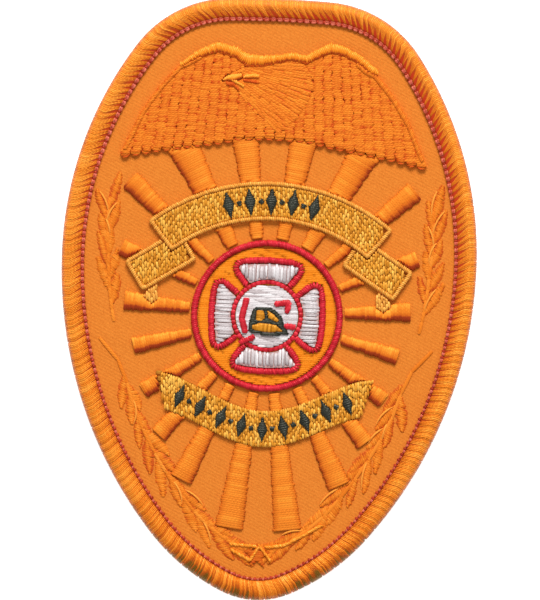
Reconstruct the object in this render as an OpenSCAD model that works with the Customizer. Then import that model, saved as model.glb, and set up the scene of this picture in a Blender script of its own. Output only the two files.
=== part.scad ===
// Embroidered cloth badge patch: an egg-shaped twill ground with an overlocked border, an eagle over a
// sunburst, two scrolls, a medallion with a four-armed cross, and leaf sprays round the foot.
// It lies flat on its back: +X to the right of the face, +Y up to the eagle, +Z out of the face.
// The origin is on the underside, at the middle of the badge's width and height. Lengths are mm.

/* [Badge outline] */
// Width across the widest line
badge_w = 63.5; // [58:0.5:72]
// Height from the top edge to the tip
badge_h = 92; // [86:0.5:104]
// Height of the widest line above the middle of the badge
widest_up = 6; // [3:0.5:9]
// Radius of the round shoulder
shoulder_r = 18; // [14:0.5:20]
// Radius of the round tip at the foot
tip_r = 12.3; // [10:0.1:15]
// Angle at which the nearly straight top turns into the shoulder
top_turn = 3; // [2:0.5:5]
// Angle at which the shoulder turns into the side
shoulder_turn = 55; // [50:1:60]
// Angle, counted from the tip, at which the tip turns into the lower flank
tip_turn = 25; // [22:1:28]
// Angle, counted from the tip, at which the lower flank turns into the side
flank_turn = 50.5; // [46:0.5:54]

/* [Cloth and border] */
// Thickness of the twill with its backing
cloth_t = 1.0; // [1:0.1:1.6]
// Width of the overlocked border
border_w = 3.4; // [2.8:0.1:4.2]
// Thickness of the border over all
border_t = 2.6; // [2.4:0.1:3.4]
// Thickness of the border's thread under the cloth
under_t = 0.6; // [0.5:0.05:0.8]
// Thread left between the cloth's cut edge and the border's outer edge
wrap_t = 0.9; // [0.7:0.1:1.4]
// Radius of the low arch across the border's face
arch_r = 3.3; // [2.8:0.1:5]
// Clearance between the cloth and the border's slot
slot_gap = 0.05; // [0.02:0.01:0.1]

/* [Stitching] */
// Side gap between neighbouring pieces of stitching
gap = 0.1; // [0.06:0.01:0.2]
// Thickness of threads that run on beneath another piece
low_t = 0.3; // [0.2:0.05:0.4]
// Upright gap between those threads and the piece over them
over_gap = 0.05; // [0.03:0.01:0.1]

/* [Medallion] */
// Outer diameter of the medallion's ring
medallion_d = 23.2; // [20:0.1:26]
// Depth of the medallion's middle below the middle of the badge
medallion_drop = 2.5; // [1:0.5:5]
// Width of the ring's line
ring_line = 1.0; // [0.7:0.05:1.3]
// Height of the ring over the cloth
ring_h = 0.8; // [0.6:0.05:1]
// Thickness of the medallion's filled field
field_h = 0.35; // [0.25:0.05:0.5]
// Reach of each arm of the cross from the middle
cross_reach = 8.75; // [8:0.05:9.2]
// Width of the line round each arm
cross_line = 0.75; // [0.5:0.05:0.9]
// Height of that line over the field
cross_line_h = 0.4; // [0.3:0.05:0.6]
// Height of an arm's satin over the field at its middle
cross_arm_h = 0.55; // [0.45:0.05:0.7]
// Height of an arm's satin over the field at its sides
cross_side_h = 0.25; // [0.15:0.05:0.35]
// Outer diameter of the hub's ring
hub_d = 11; // [10:0.1:12]
// Width of the hub ring's line
hub_line = 0.65; // [0.5:0.05:0.8]
// Height of the hub's disc over the field
hub_h = 0.4; // [0.3:0.05:0.6]

/* [Helmet and tools] */
// Length of the helmet from its peak to the back of its brim
helmet_l = 5.8; // [5:0.1:6.4]
// Height of the helmet
helmet_h = 4.4; // [3.8:0.1:4.8]
// Height of the helmet's dark line over the hub's disc
helmet_line_h = 0.3; // [0.2:0.05:0.4]
// Height of the helmet's light panels over the hub's disc
helmet_panel_h = 0.4; // [0.3:0.05:0.5]
// Width of the tools' bars behind the helmet
tool_w = 0.8; // [0.6:0.05:0.9]
// Height of the tools over the hub's disc
tool_h = 0.3; // [0.2:0.05:0.4]

/* [Sunburst] */
// Distance from the rays' outer ends to the badge's edge
burst_margin = 9.6; // [9:0.1:11]
// Gap between the medallion's ring and the rays' inner ends
ray_gap = 0.35; // [0.2:0.05:0.8]
// Height of a ray over the cloth along its middle
ray_h = 0.85; // [0.7:0.05:1]
// Height of a ray over the cloth along its sides
ray_side_h = 0.35; // [0.3:0.05:0.45]
// Length of a ray that is hidden beneath the eagle
ray_lap = 0.8; // [0.4:0.1:1.2]

/* [Scrolls] */
// Gap between the medallion's ring and each scroll at its middle
scroll_gap = 2.9; // [2:0.1:4]
// Width of the upper scroll's band
scroll_w = 6; // [5:0.1:7]
// Inner radius of the upper scroll
scroll_r = 23.7; // [21:0.1:26]
// Distance from the upper scroll's ends to the badge's widest width
scroll_margin = 13; // [12:0.1:15]
// Width of the light line round the upper scroll and its tails
scroll_line = 0.55; // [0.4:0.05:0.8]
// Height of the scrolls' fill over the cloth
scroll_h = 0.7; // [0.6:0.05:0.9]
// Height of the light line over the cloth
scroll_line_h = 0.85; // [0.7:0.05:1]
// Width of each tail
tail_w = 5.5; // [4.5:0.1:6]
// Length of each tail past the upper scroll's lower corner
tail_out = 6.9; // [6:0.1:7.3]
// Length of each tail before the upper scroll's lower corner
tail_in = 2.8; // [2:0.1:3.4]
// Slope of the tails below the level
tail_slope = 32.6; // [28:0.2:36]
// Size of the patch of folded cloth below each tail
fold_size = 2.5; // [2:0.1:2.8]
// Height of the folded patch over the cloth
fold_h = 0.6; // [0.55:0.05:0.8]
// Width of the lower scroll's band, measured upright
low_scroll_w = 5.5; // [5:0.1:6]
// Rise of the lower scroll's wave from its middle to its level ends
low_scroll_rise = 5.5; // [4.5:0.1:6.5]
// Distance from the middle at which the lower scroll's wave runs level
low_scroll_level = 18; // [17:0.1:20]
// Distance from the lower scroll's upper corners to the badge's widest width
low_scroll_margin = 15.1; // [14.6:0.1:17]
// Distance by which the lower scroll's foot corners stand in from its upper corners
low_scroll_lean = 1.7; // [1:0.1:2.2]
// Height of the dark marks over the scrolls' fill
mark_h = 0.25; // [0.15:0.05:0.35]
// Number of dark lozenges on the upper scroll
marks = 5; // [3:1:6]
// Height of a dark lozenge on the upper scroll
mark_l = 4.3; // [3:0.1:4.6]
// Width of a dark lozenge on the upper scroll
mark_w = 1.8; // [1.4:0.1:2.2]
// Number of dark lozenges on the lower scroll
low_marks = 9; // [5:1:9]
// Height of a dark lozenge on the lower scroll
low_mark_l = 3.9; // [2.6:0.1:4.2]
// Width of a dark lozenge on the lower scroll
low_mark_w = 1.7; // [1.2:0.1:1.8]
// Diameter of the dots between the lozenges
dot_d = 0.9; // [0.6:0.05:1]
// Gap between a dot and the lozenges beside it
mark_gap = 0.3; // [0.2:0.05:0.35]

/* [Eagle] */
// Distance from the eagle's highest point to the badge's top edge
eagle_margin = 6.6; // [6:0.1:8]
// Distance from the wing tips to the badge's edge beside them
wing_margin = 6.3; // [6:0.1:8]
// Gap between the upper scroll's top and the level of the wing tips
eagle_gap = 3; // [2:0.1:4]
// Number of feathers in each wing
feathers = 15; // [12:1:18]
// Share of the span by which the feathers' roots stand closer than their tips
root_share = 0.88; // [0.84:0.01:0.94]
// Height of the wings over the cloth between the feathers
wing_h = 0.75; // [0.6:0.05:0.9]
// Rise of each feather's ridge over that
feather_rise = 0.35; // [0.25:0.05:0.45]
// Height of the head and neck over the cloth
head_h = 1.15; // [1:0.05:1.3]
// Height of the beak and of the crest line over the cloth
crest_h = 1.3; // [1.1:0.05:1.5]
// Height of the brow over the head
brow_h = 0.2; // [0.15:0.05:0.3]

/* [Sprays and star] */
// Distance from the sprays' stems to the badge's edge
spray_margin = 7.2; // [6.8:0.1:7.6]
// Length of a leaf
leaf_l = 5.4; // [4.5:0.1:6]
// Width of a leaf
leaf_w = 1.3; // [1:0.05:1.5]
// Angle between a leaf and its stem
leaf_splay = 15; // [10:1:18]
// Distance along the stem from one leaf to the next
leaf_pitch = 1.9; // [1.5:0.1:2.5]
// Width of a stem
stem_w = 0.6; // [0.4:0.05:0.8]
// Height of the sprays over the cloth
spray_h = 0.35; // [0.25:0.05:0.45]
// Radius of the star's points
star_r = 2.1; // [1.6:0.1:2.4]
// Distance from the star's middle to the badge's tip
star_margin = 6.9; // [6.5:0.1:7.5]
// Height of the star over the cloth
star_h = 0.6; // [0.4:0.05:0.8]

/* [Hidden] */
$fn = 96;

// Heights of the layers
cloth_top = under_t + cloth_t;
over_z = low_t + over_gap;

// Distance by which a cutting shape runs past what it cuts
past = 1;

// The outline's right half is a chain of tangent arcs. A point on it is named by the angle t of its
// outward normal, from 0 at the top through 90 at the widest line to 180 at the tip.
half_w = badge_w / 2;
half_h = badge_h / 2;
TURNS = [0, top_turn, shoulder_turn, 90, 180 - flank_turn, 180 - tip_turn, 180];

// Radii of the top and side arcs that meet the given size round a fixed shoulder
top_x = half_w - shoulder_r * (sin(shoulder_turn) - sin(top_turn));
top_y = half_h - widest_up - shoulder_r * (cos(top_turn) - cos(shoulder_turn));
top_det = sin(top_turn) * cos(shoulder_turn) - (1 - sin(shoulder_turn)) * (1 - cos(top_turn));
top_arc_r = (top_x * cos(shoulder_turn) - top_y * (1 - sin(shoulder_turn))) / top_det;
side_arc_r = (top_y * sin(top_turn) - top_x * (1 - cos(top_turn))) / top_det;

// Radii of the lower side and flank arcs that meet the given size round a fixed tip
low_x = half_w - tip_r * sin(tip_turn);
low_y = half_h + widest_up - tip_r * (1 - cos(tip_turn));
mid_x = sin(flank_turn) - sin(tip_turn);
mid_y = cos(tip_turn) - cos(flank_turn);
low_det = mid_x * cos(flank_turn) - (1 - sin(flank_turn)) * mid_y;
flank_arc_r = (low_x * cos(flank_turn) - low_y * (1 - sin(flank_turn))) / low_det;
low_arc_r = (low_y * mid_x - low_x * mid_y) / low_det;
RADII = [top_arc_r, shoulder_r, side_arc_r, low_arc_r, flank_arc_r, tip_r];

function out(t) = [sin(t), cos(t)];
function arc_centre(i) =
    i == 0 ? [0, half_h - RADII[0]] : arc_centre(i - 1) + (RADII[i - 1] - RADII[i]) * out(TURNS[i]);
CENTRES = [for (i = [0 : 5]) arc_centre(i)];

// Point on the outline moved inward by a distance, on arc i at normal angle t
function arc_point(i, t, inset) = CENTRES[i] + (RADII[i] - inset) * out(t);
JOINTS = [for (i = [0 : 6]) arc_point(min(i, 5), TURNS[i], 0)];

// Half width of the badge at height y
function arc_at(y, i = 0) = i == 5 || y >= JOINTS[i + 1].y ? i : arc_at(y, i + 1);
function edge_x(y) =
    let (i = arc_at(y))
    CENTRES[i].x + sqrt(max(0, pow(RADII[i], 2) - pow(y - CENTRES[i].y, 2)));

// Normal angle of the outline's point at height y
function turn_at(y) =
    let (i = arc_at(y))
    acos(max(-1, min(1, (y - CENTRES[i].y) / RADII[i])));

// Distance along the outline from the top, at each joint, and the point found by that distance
function run_to(i) = i == 0 ? 0 : run_to(i - 1) + RADII[i - 1] * (TURNS[i] - TURNS[i - 1]) * PI / 180;
RUNS = [for (i = [0 : 6]) [run_to(i), TURNS[i]]];
TURN_RUNS = [for (r = RUNS) [r[1], r[0]]];
function arc_of(t, i = 0) = i == 5 || t <= TURNS[i + 1] ? i : arc_of(t, i + 1);
function along(run, inset) =
    let (t = lookup(run, RUNS))
    arc_point(arc_of(t), t, inset);
function run_at(y) = lookup(turn_at(y), TURN_RUNS);

// Placing of the medallion and the scrolls; tail_share is how much of a tail lies below the corner
hub_y = -medallion_drop;
medallion_r = medallion_d / 2;
field_r = medallion_r - ring_line - gap;
scroll_y = hub_y + medallion_r + scroll_gap - scroll_r;
scroll_out_r = scroll_r + scroll_w;
scroll_sweep = asin((half_w - scroll_margin) / scroll_out_r);
scroll_corner = [0, scroll_y] + scroll_r * out(scroll_sweep);
tail_share = 0.55;
low_scroll_y = hub_y - medallion_r - scroll_gap;
low_scroll_half = half_w - low_scroll_margin;

// Placing of the eagle
eagle_foot = scroll_y + scroll_out_r + eagle_gap;
eagle_tall = half_h - eagle_margin - eagle_foot;
eagle_half = edge_x(eagle_foot) - wing_margin;

// Leading edge of a wing, from the middle to the wing tip: [across, up] as shares of the half span
// and of the eagle's height
WING_EDGE = [
    [0.00, 0.85],
    [0.13, 0.82],
    [0.24, 0.86],
    [0.39, 0.94],
    [0.52, 0.875],
    [0.65, 0.755],
    [0.78, 0.56],
    [0.88, 0.36],
    [1.00, 0.03]
];

// Hem of a wing, where the feathers' tips are: [across, up] in the same shares
WING_HEM = [
    [0.00, 0.22],
    [0.22, 0.21],
    [0.35, 0.17],
    [0.56, 0.13],
    [0.78, 0.08],
    [1.00, 0.02]
];

// Crest line along both wings and behind the head: [across, top, bottom] in the same shares
CREST = [
    [-0.63, 0.79, 0.77],
    [-0.52, 0.90, 0.85],
    [-0.39, 0.975, 0.91],
    [-0.27, 0.94, 0.865],
    [-0.20, 0.885, 0.80],
    [-0.11, 0.875, 0.80],
    [0.00, 0.885, 0.835],
    [0.09, 0.91, 0.865],
    [0.19, 0.89, 0.84],
    [0.26, 0.95, 0.89],
    [0.345, 1.00, 0.94],
    [0.43, 0.98, 0.92],
    [0.52, 0.925, 0.865],
    [0.60, 0.85, 0.785],
    [0.66, 0.785, 0.76]
];

// Head and neck, from the beak's tip over the crown, down the nape and up the throat: [across, up]
HEAD = [
    [-0.358, 0.652],
    [-0.323, 0.707],
    [-0.267, 0.734],
    [-0.211, 0.772],
    [-0.095, 0.830],
    [0.022, 0.860],
    [0.129, 0.870],
    [0.220, 0.739],
    [0.233, 0.620],
    [0.203, 0.500],
    [0.134, 0.364],
    [0.069, 0.288],
    [0.026, 0.228],
    [-0.043, 0.326],
    [-0.129, 0.402],
    [-0.198, 0.495],
    [-0.246, 0.576],
    [-0.267, 0.620],
    [-0.328, 0.625]
];

// Upper half of the beak, and the brow over the eye: [across, up]
BEAK = [
    [-0.358, 0.652],
    [-0.323, 0.707],
    [-0.237, 0.728],
    [-0.224, 0.680],
    [-0.276, 0.647]
];
BROW = [
    [-0.216, 0.675],
    [-0.210, 0.715],
    [-0.155, 0.725],
    [-0.112, 0.715],
    [-0.121, 0.680]
];

// Rays on one side, from the top round to the foot: [angle from straight up, half angle]
RAYS = [
    [9.3, 4.4],
    [28.6, 4.9],
    [47.5, 3.2],
    [67, 3.1],
    [86, 3.9],
    [105, 3.5],
    [123.5, 3.4],
    [140, 3.4],
    [154.7, 3.7],
    [172.2, 3.8]
];

// Outline of an arm of the cross: [half width, distance from the middle] as shares of the reach
CROSS_ARM = [
    [0.375, 0.47],
    [0.62, 0.79],
    [0.58, 0.945],
    [0.30, 0.985],
    [0.00, 1.00]
];

// Folded patch below a tail, from the tail's lower corner: [across, up] as shares of its size
FOLD = [
    [0.36, 0.20],
    [1.00, 0.58],
    [1.04, -0.36],
    [0.60, -0.68],
    [0.08, -0.28]
];

// Helmet from the side: [across, up] as shares of its length and height from its front foot
HELMET = [
    [0.00, 0.14],
    [0.02, 0.50],
    [0.10, 0.88],
    [0.26, 1.00],
    [0.43, 1.00],
    [0.64, 0.86],
    [0.81, 0.64],
    [0.88, 0.34],
    [1.00, 0.07],
    [0.52, 0.00],
    [0.12, 0.06]
];

// Light panels of the helmet in the same shares: crown front, crown back and brim
PANELS = [
    [[0.15, 0.52], [0.17, 0.86], [0.34, 0.88], [0.40, 0.62], [0.33, 0.50]],
    [[0.46, 0.84], [0.60, 0.76], [0.74, 0.58], [0.72, 0.46], [0.46, 0.60]],
    [[0.07, 0.20], [0.10, 0.36], [0.28, 0.42], [0.68, 0.38], [0.88, 0.14], [0.52, 0.10], [0.14, 0.14]]
];

// Tools behind the helmet, as bars: [from, to] in the same shares
TOOLS = [
    [[-0.12, 1.20], [-0.22, 0.55]],
    [[-0.22, 0.55], [-0.12, 0.14]],
    [[0.70, 1.10], [0.98, 1.16]],
    [[0.98, 1.16], [0.98, 0.86]],
    [[0.98, 0.34], [1.22, 0.30]],
    [[-0.24, -0.34], [0.04, -0.14]]
];

// Places of the helmet's front foot, from the hub's middle
helmet_at = [-2.55, -2.95];

// Sway of the lower sprays' stems off their margin, by share of the way from the crossing to the star
LOW_SWAY = [[0, -2.2], [0.12, 0.5], [0.25, 0], [1, 0]];
// Sway of the upper sprays' stems, by share of the way from the crossing to the wing tip
UP_SWAY = [[0, 0.3], [0.5, 0], [1, -0.9]];
// Heights at which the upper spray's stem starts and ends and the lower spray's stem starts, from the
// badge's middle, and the distance along the edge from the tip to the lower stem's end
upper_stem_from = -5.5;
upper_stem_to = 15.5;
lower_stem_from = -8;
lower_stem_left = 5;

function place(p) = [p[0] * eagle_half, eagle_foot + p[1] * eagle_tall];
function wing_root(share) = place([share * root_share, lookup(share * root_share, WING_EDGE)]);
function wing_tip(share) = place([share, lookup(share, WING_HEM)]);
feather_w = eagle_half / feathers;

module both_sides() {
    children();
    mirror([1, 0, 0])
        children();
}

// A flat shape grown by a distance on every side
module grown(by) {
    if (by == 0)
        children();
    else
        offset(delta = by)
            children();
}

// Solid of a flat shape that stands on the cloth, from one height over the cloth to another
module layer(from, to) {
    translate([0, 0, cloth_top + from])
        linear_extrude(to - from)
            children();
}

// Cone that lies from point a to point b with its highest line level at height top over the cloth
module ridge(a, b, r_a, r_b, top) {
    run = norm(b - a);
    rise = r_a - r_b;
    translate([a.x, a.y, cloth_top + top - r_a])
        rotate([0, atan2(run, rise), atan2(b.y - a.y, b.x - a.x)])
            cylinder(r1 = r_a, r2 = r_b, h = norm([run, rise]), $fn = 360);
}

// Radius of an arch as wide as 2 * half that drops by a given depth to its sides
function arch(half, drop) = (half * half + drop * drop) / (2 * drop);

// Stands down the outline's right side, from the top to the tip: each arc in equal steps of its turn
outline_step = 4;
STANDS = concat(
    [
        for (i = [0 : 5])
            let (turn = TURNS[i + 1] - TURNS[i], steps = ceil(turn / outline_step))
            for (k = [0 : steps - 1])
                [i, TURNS[i] + turn * k / steps]
    ],
    [[5, 180]]
);

module ground_twill() {
    right = [for (s = STANDS) arc_point(s[0], s[1], wrap_t)];
    left = [for (i = [len(right) - 2 : -1 : 1]) [-right[i].x, right[i].y]];
    color("#E8862F")
        translate([0, 0, under_t])
            linear_extrude(cloth_t)
                polygon(concat(right, left));
}

// Section across the border, with x counted inward from the badge's edge: a round outer bead that
// runs on as a low arch, and a slot that takes the cloth
bead_r = border_t / 2;
bead_steps = 6;
arch_steps = 4;
arch_end = asin((border_w - bead_r) / arch_r);
BEAD = [for (i = [0 : bead_steps]) [bead_r, bead_r] - bead_r * out(180 * i / bead_steps)];
ARCH = [
    for (i = [1 : arch_steps])
        [bead_r, border_t - arch_r] + arch_r * out(arch_end * i / arch_steps)
];
SLOT = [
    [border_w, cloth_top + slot_gap],
    [wrap_t - slot_gap, cloth_top + slot_gap],
    [wrap_t - slot_gap, under_t - slot_gap],
    [border_w, under_t - slot_gap],
    [border_w, 0]
];
BORDER_SECTION = concat(BEAD, ARCH, SLOT);

// The border as its section swept round the stands, down the right side and up the left
function at_stand(s, p) = let (q = arc_point(s[0], s[1], p.x)) [q.x, q.y, p.y];
function flipped(q) = [-q.x, q.y, q.z];

module merrow_border() {
    down_right = [for (s = STANDS, p = BORDER_SECTION) at_stand(s, p)];
    up_left = [
        for (i = [len(STANDS) - 2 : -1 : 1], p = BORDER_SECTION)
            flipped(at_stand(STANDS[i], p))
    ];
    corners = len(BORDER_SECTION);
    rings = 2 * len(STANDS) - 2;
    color("#F0861C")
        polyhedron(
            points = concat(down_right, up_left),
            faces = [
                for (r = [0 : rings - 1], c = [0 : corners - 1])
                    let (next = (r + 1) % rings, beside = (c + 1) % corners)
                    [r * corners + c, next * corners + c, next * corners + beside, r * corners + beside]
            ]
        );
}

// Wedge that widens from the medallion outward, between two distances, with a margin round it
module ray_shape(angle, half, from, to, margin) {
    translate([0, hub_y])
        rotate(-angle)
            polygon([
                [-from * tan(half) - margin, from],
                [-to * tan(half) - margin, to],
                [to * tan(half) + margin, to],
                [from * tan(half) + margin, from]
            ]);
}

// Distance from the medallion's middle to the badge's edge in a direction, found by halving
function reach_to_edge(angle, near = 0, far = 60, steps = 24) =
    let (mid = (near + far) / 2, p = [0, hub_y] + mid * out(angle))
    steps == 0 ? mid :
    abs(p.y) < half_h && p.x < edge_x(p.y) ? reach_to_edge(angle, mid, far, steps - 1) :
    reach_to_edge(angle, near, mid, steps - 1);

// Distance in the same direction to just beneath the wings' hem, for rays that lean less than the turn
// at which they miss the wings
miss_turn = 40;
function hem_y(x) = wing_tip(x / eagle_half).y;
function reach_to_eagle(angle) =
    angle > miss_turn ? badge_h :
    (hem_y((eagle_foot - hub_y) * tan(angle)) + ray_lap - hub_y) / cos(angle);
function ray_reach(angle) = min(reach_to_edge(angle) - burst_margin, reach_to_eagle(angle));
ray_start = medallion_r + ray_gap;

// Room for the rays beneath what lies over them
module ray_channels() {
    layer(-over_gap, over_z)
        both_sides()
            for (r = RAYS)
                ray_shape(r[0], r[1], ray_start - gap, ray_reach(r[0]) + gap, gap);
}

// Everything that lies over the rays
module over_rays() {
    scroll_band(-gap);
    low_scroll_band(-gap);
    both_sides() {
        tail_shape(-gap);
        fold_shape(-gap);
    }
    both_sides()
        wing_cover();
}

module ray(row, side) {
    angle = RAYS[row][0];
    half = RAYS[row][1];
    reach = ray_reach(angle);
    far_r = arch(reach * tan(half), ray_h - ray_side_h);
    near_r = far_r * ray_start / reach;
    centre = [0, hub_y];
    color("#F88A1E")
        mirror([side, 0, 0])
            difference() {
                intersection() {
                    layer(0, ray_h)
                        ray_shape(angle, half, ray_start, reach, 0);
                    ridge(
                        centre + out(angle) * (ray_start - past),
                        centre + out(angle) * (reach + past),
                        near_r * (ray_start - past) / ray_start,
                        far_r * (reach + past) / reach,
                        ray_h
                    );
                }
                layer(low_t, ray_h + past)
                    over_rays();
            }
}

// Band of the upper scroll, drawn in by a distance on every side
module scroll_band(inset) {
    far = scroll_out_r * 2;
    translate([0, scroll_y])
        intersection() {
            difference() {
                circle(scroll_out_r - inset);
                circle(scroll_r + inset);
            }
            translate([0, inset / sin(scroll_sweep)])
                polygon([[0, 0], far * out(-scroll_sweep), far * out(scroll_sweep)]);
        }
}

module scroll_upper() {
    color("#D98E1E")
        difference() {
            layer(0, scroll_h)
                scroll_band(scroll_line + gap);
            ray_channels();
        }
}

module scroll_upper_edge() {
    color("#F4C05A")
        difference() {
            layer(0, scroll_line_h)
                difference() {
                    scroll_band(0);
                    scroll_band(scroll_line);
                }
            ray_channels();
        }
}

// A tail as a strip that slopes down and out from beneath the upper scroll's corner, on the right
module tail_shape(inset) {
    translate(scroll_corner)
        rotate(-tail_slope)
            translate([-tail_in + inset, -tail_w * tail_share + inset])
                square([tail_in + tail_out - 2 * inset, tail_w - 2 * inset]);
}

module tail(side) {
    color("#D98E1E")
        mirror([side, 0, 0])
            difference() {
                layer(0, scroll_h)
                    difference() {
                        tail_shape(scroll_line + gap);
                        scroll_band(-gap);
                    }
                ray_channels();
            }
}

module tail_edge(side) {
    color("#F4C05A")
        mirror([side, 0, 0])
            difference() {
                layer(0, scroll_line_h)
                    difference() {
                        tail_shape(0);
                        tail_shape(scroll_line);
                        scroll_band(-gap);
                    }
                ray_channels();
            }
}

// Patch of folded cloth that shows below a tail's outer corner, on the right
tail_corner = scroll_corner
    + tail_out * [cos(tail_slope), -sin(tail_slope)]
    - tail_w * tail_share * [sin(tail_slope), cos(tail_slope)];
module fold_shape(inset) {
    grown(-inset)
        translate(tail_corner)
            polygon([for (p = FOLD) [-p[0], p[1]] * fold_size]);
}

module fold(side) {
    color("#E2A03C")
        mirror([side, 0, 0])
            difference() {
                layer(0, fold_h)
                    difference() {
                        fold_shape(0);
                        tail_shape(-gap);
                    }
                ray_channels();
            }
}

// Upper edge of the lower scroll: half a wave, lowest in the middle
wave_steps = 20;
function wave_y(x) = low_scroll_y + low_scroll_rise * (1 - cos(180 * x / low_scroll_level)) / 2;
function wave_slope(x) = atan(low_scroll_rise * PI / 2 / low_scroll_level * sin(180 * x / low_scroll_level));

// Band of the lower scroll, drawn in by a distance on every side
module low_scroll_band(inset) {
    top = low_scroll_half;
    foot = low_scroll_half - low_scroll_lean;
    grown(-inset)
        polygon(concat(
            [for (i = [-wave_steps : wave_steps]) let (x = top * i / wave_steps) [x, wave_y(x)]],
            [
                for (i = [wave_steps : -1 : -wave_steps])
                    let (x = foot * i / wave_steps)
                    [x, wave_y(x) - low_scroll_w]
            ]
        ));
}

module scroll_lower() {
    color("#D98E1E")
        difference() {
            layer(0, scroll_h)
                low_scroll_band(0);
            ray_channels();
        }
}

// Places of the marks along a scroll's middle line, as [across, up, turn]: a lozenge at every other one
function mark_pitch(w) = (w + dot_d) / 2 + mark_gap;
function arc_places(count, pitch) =
    let (r = scroll_r + scroll_w / 2)
    [
        for (i = [1 - count : count - 1])
            let (turn = i * pitch / r * 180 / PI)
            [r * sin(turn), scroll_y + r * cos(turn), -turn]
    ];
function wave_places(count, pitch) = [
    for (i = [1 - count : count - 1])
        let (x = i * pitch)
        [x, wave_y(x) - low_scroll_w / 2, wave_slope(x)]
];

module mark_row(places, w, l) {
    color("#23261F")
        layer(scroll_h, scroll_h + mark_h)
            for (i = [0 : len(places) - 1])
                translate([places[i][0], places[i][1]])
                    rotate(places[i][2])
                        if (i % 2 == 0)
                            polygon([[-w / 2, 0], [0, l / 2], [w / 2, 0], [0, -l / 2]]);
                        else
                            circle(d = dot_d);
}

// Shape of the crest line, grown by a distance
module crest_shape(grow) {
    top = [for (c = CREST) place([c[0], c[1]])];
    foot = [for (i = [len(CREST) - 1 : -1 : 0]) place([CREST[i][0], CREST[i][2]])];
    grown(grow)
        polygon(concat(top, foot));
}

module eagle_crest() {
    color("#FFC04A")
        layer(0, crest_h)
            crest_shape(0);
}

module head_shape(grow) {
    grown(grow)
        polygon([for (p = HEAD) place(p)]);
}

module beak_shape(grow) {
    grown(grow)
        polygon([for (p = BEAK) place(p)]);
}

// Footprint of the right wing: a fan of feathers, each with a round tip
tip_steps = 6;
module wing_shape() {
    roots = [for (i = [0 : feathers]) wing_root(i / feathers)];
    tips = [
        for (i = [feathers - 1 : -1 : 0])
            for (k = [0 : tip_steps - 1])
                let (middle = wing_tip((i + 0.5) / feathers))
                middle + feather_w / 2 * out(90 + 180 * (k + 0.5) / tip_steps)
    ];
    polygon(concat(roots, tips));
}

// Plain shape over the same wing, down to just past the feathers' tips
module wing_cover() {
    past = [0, feather_w / 2 + gap];
    hem = [for (i = [len(WING_HEM) - 1 : -1 : 0]) place(WING_HEM[i]) - past];
    polygon(concat([for (p = WING_EDGE) place(p)], hem));
}

// Radius of a feather's round back as a share of the feathers' spacing
back_share = 0.575;
module wing(side) {
    top = wing_h + feather_rise;
    color("#F88A1E")
        difference() {
            mirror([side, 0, 0])
                intersection() {
                    layer(0, top)
                        wing_shape();
                    union() {
                        layer(-past, wing_h)
                            translate([-eagle_half, eagle_foot - eagle_tall])
                                square([3 * eagle_half, 3 * eagle_tall]);
                        for (i = [0 : feathers - 1])
                            ridge(
                                wing_root((i + 0.5) / feathers) + [0, feather_w],
                                wing_tip((i + 0.5) / feathers) - [0, feather_w],
                                feather_w * root_share * back_share,
                                feather_w * back_share,
                                top
                            );
                    }
                }
            layer(-past, top + past) {
                crest_shape(gap);
                head_shape(gap);
            }
            ray_channels();
        }
}

module eagle_head() {
    color("#F88A1E")
        difference() {
            layer(0, head_h)
                difference() {
                    head_shape(0);
                    crest_shape(gap);
                    beak_shape(gap);
                }
            ray_channels();
        }
}

module eagle_beak() {
    color("#FFB43C")
        layer(0, crest_h)
            beak_shape(0);
}

module eagle_brow() {
    color("#FFB43C")
        layer(head_h, head_h + brow_h)
            polygon([for (p = BROW) place(p)]);
}

module medallion_ring() {
    color("#D82A38")
        layer(0, ring_h)
            translate([0, hub_y])
                difference() {
                    circle(medallion_r);
                    circle(medallion_r - ring_line);
                }
}

module medallion_field() {
    color("#F09020")
        layer(0, field_h)
            translate([0, hub_y])
                circle(field_r);
}

// Outline of one arm of the cross, drawn in by a distance, pointing up from the hub's middle
module arm_shape(inset) {
    right = [for (p = CROSS_ARM) p * cross_reach];
    left = [for (i = [len(right) - 2 : -1 : 0]) [-right[i].x, right[i].y]];
    grown(-inset)
        polygon(concat(right, left));
}

module four_ways() {
    for (i = [0 : 3])
        rotate(90 * i)
            children();
}

module cross_outline() {
    hub_r = hub_d / 2;
    color("#D82A38")
        layer(field_h, field_h + cross_line_h)
            translate([0, hub_y])
                difference() {
                    union() {
                        four_ways()
                            arm_shape(0);
                        circle(hub_r);
                    }
                    four_ways()
                        difference() {
                            arm_shape(cross_line);
                            circle(hub_r);
                        }
                    circle(hub_r - hub_line);
                }
}

module cross_arm(way) {
    half = CROSS_ARM[1][0] * cross_reach;
    arm_r = arch(half, cross_arm_h - cross_side_h);
    color("#F2ECEF")
        translate([0, hub_y, 0])
            rotate(-90 * way)
                intersection() {
                    layer(field_h, field_h + cross_arm_h)
                        difference() {
                            arm_shape(cross_line + gap);
                            circle(hub_d / 2 + gap);
                        }
                    ridge([0, 0], [0, cross_reach], arm_r, arm_r, field_h + cross_arm_h);
                }
}

module hub_disc() {
    color("#F2ECEF")
        layer(field_h, field_h + hub_h)
            translate([0, hub_y])
                circle(hub_d / 2 - hub_line - gap);
}

function helmet_point(p) = helmet_at + [p[0] * helmet_l, hub_y + p[1] * helmet_h];
function helmet_points(table) = [for (p = table) helmet_point(p)];
hub_top = field_h + hub_h;

// Shape of the helmet's light panels, grown by a distance
module panels_shape(grow) {
    for (p = PANELS)
        grown(grow)
            polygon(helmet_points(p));
}

module helmet_outline() {
    color("#23261F")
        layer(hub_top, hub_top + helmet_line_h)
            difference() {
                polygon(helmet_points(HELMET));
                panels_shape(gap);
            }
}

module helmet_panels() {
    color("#D9861E")
        layer(hub_top, hub_top + helmet_panel_h)
            panels_shape(0);
}

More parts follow.
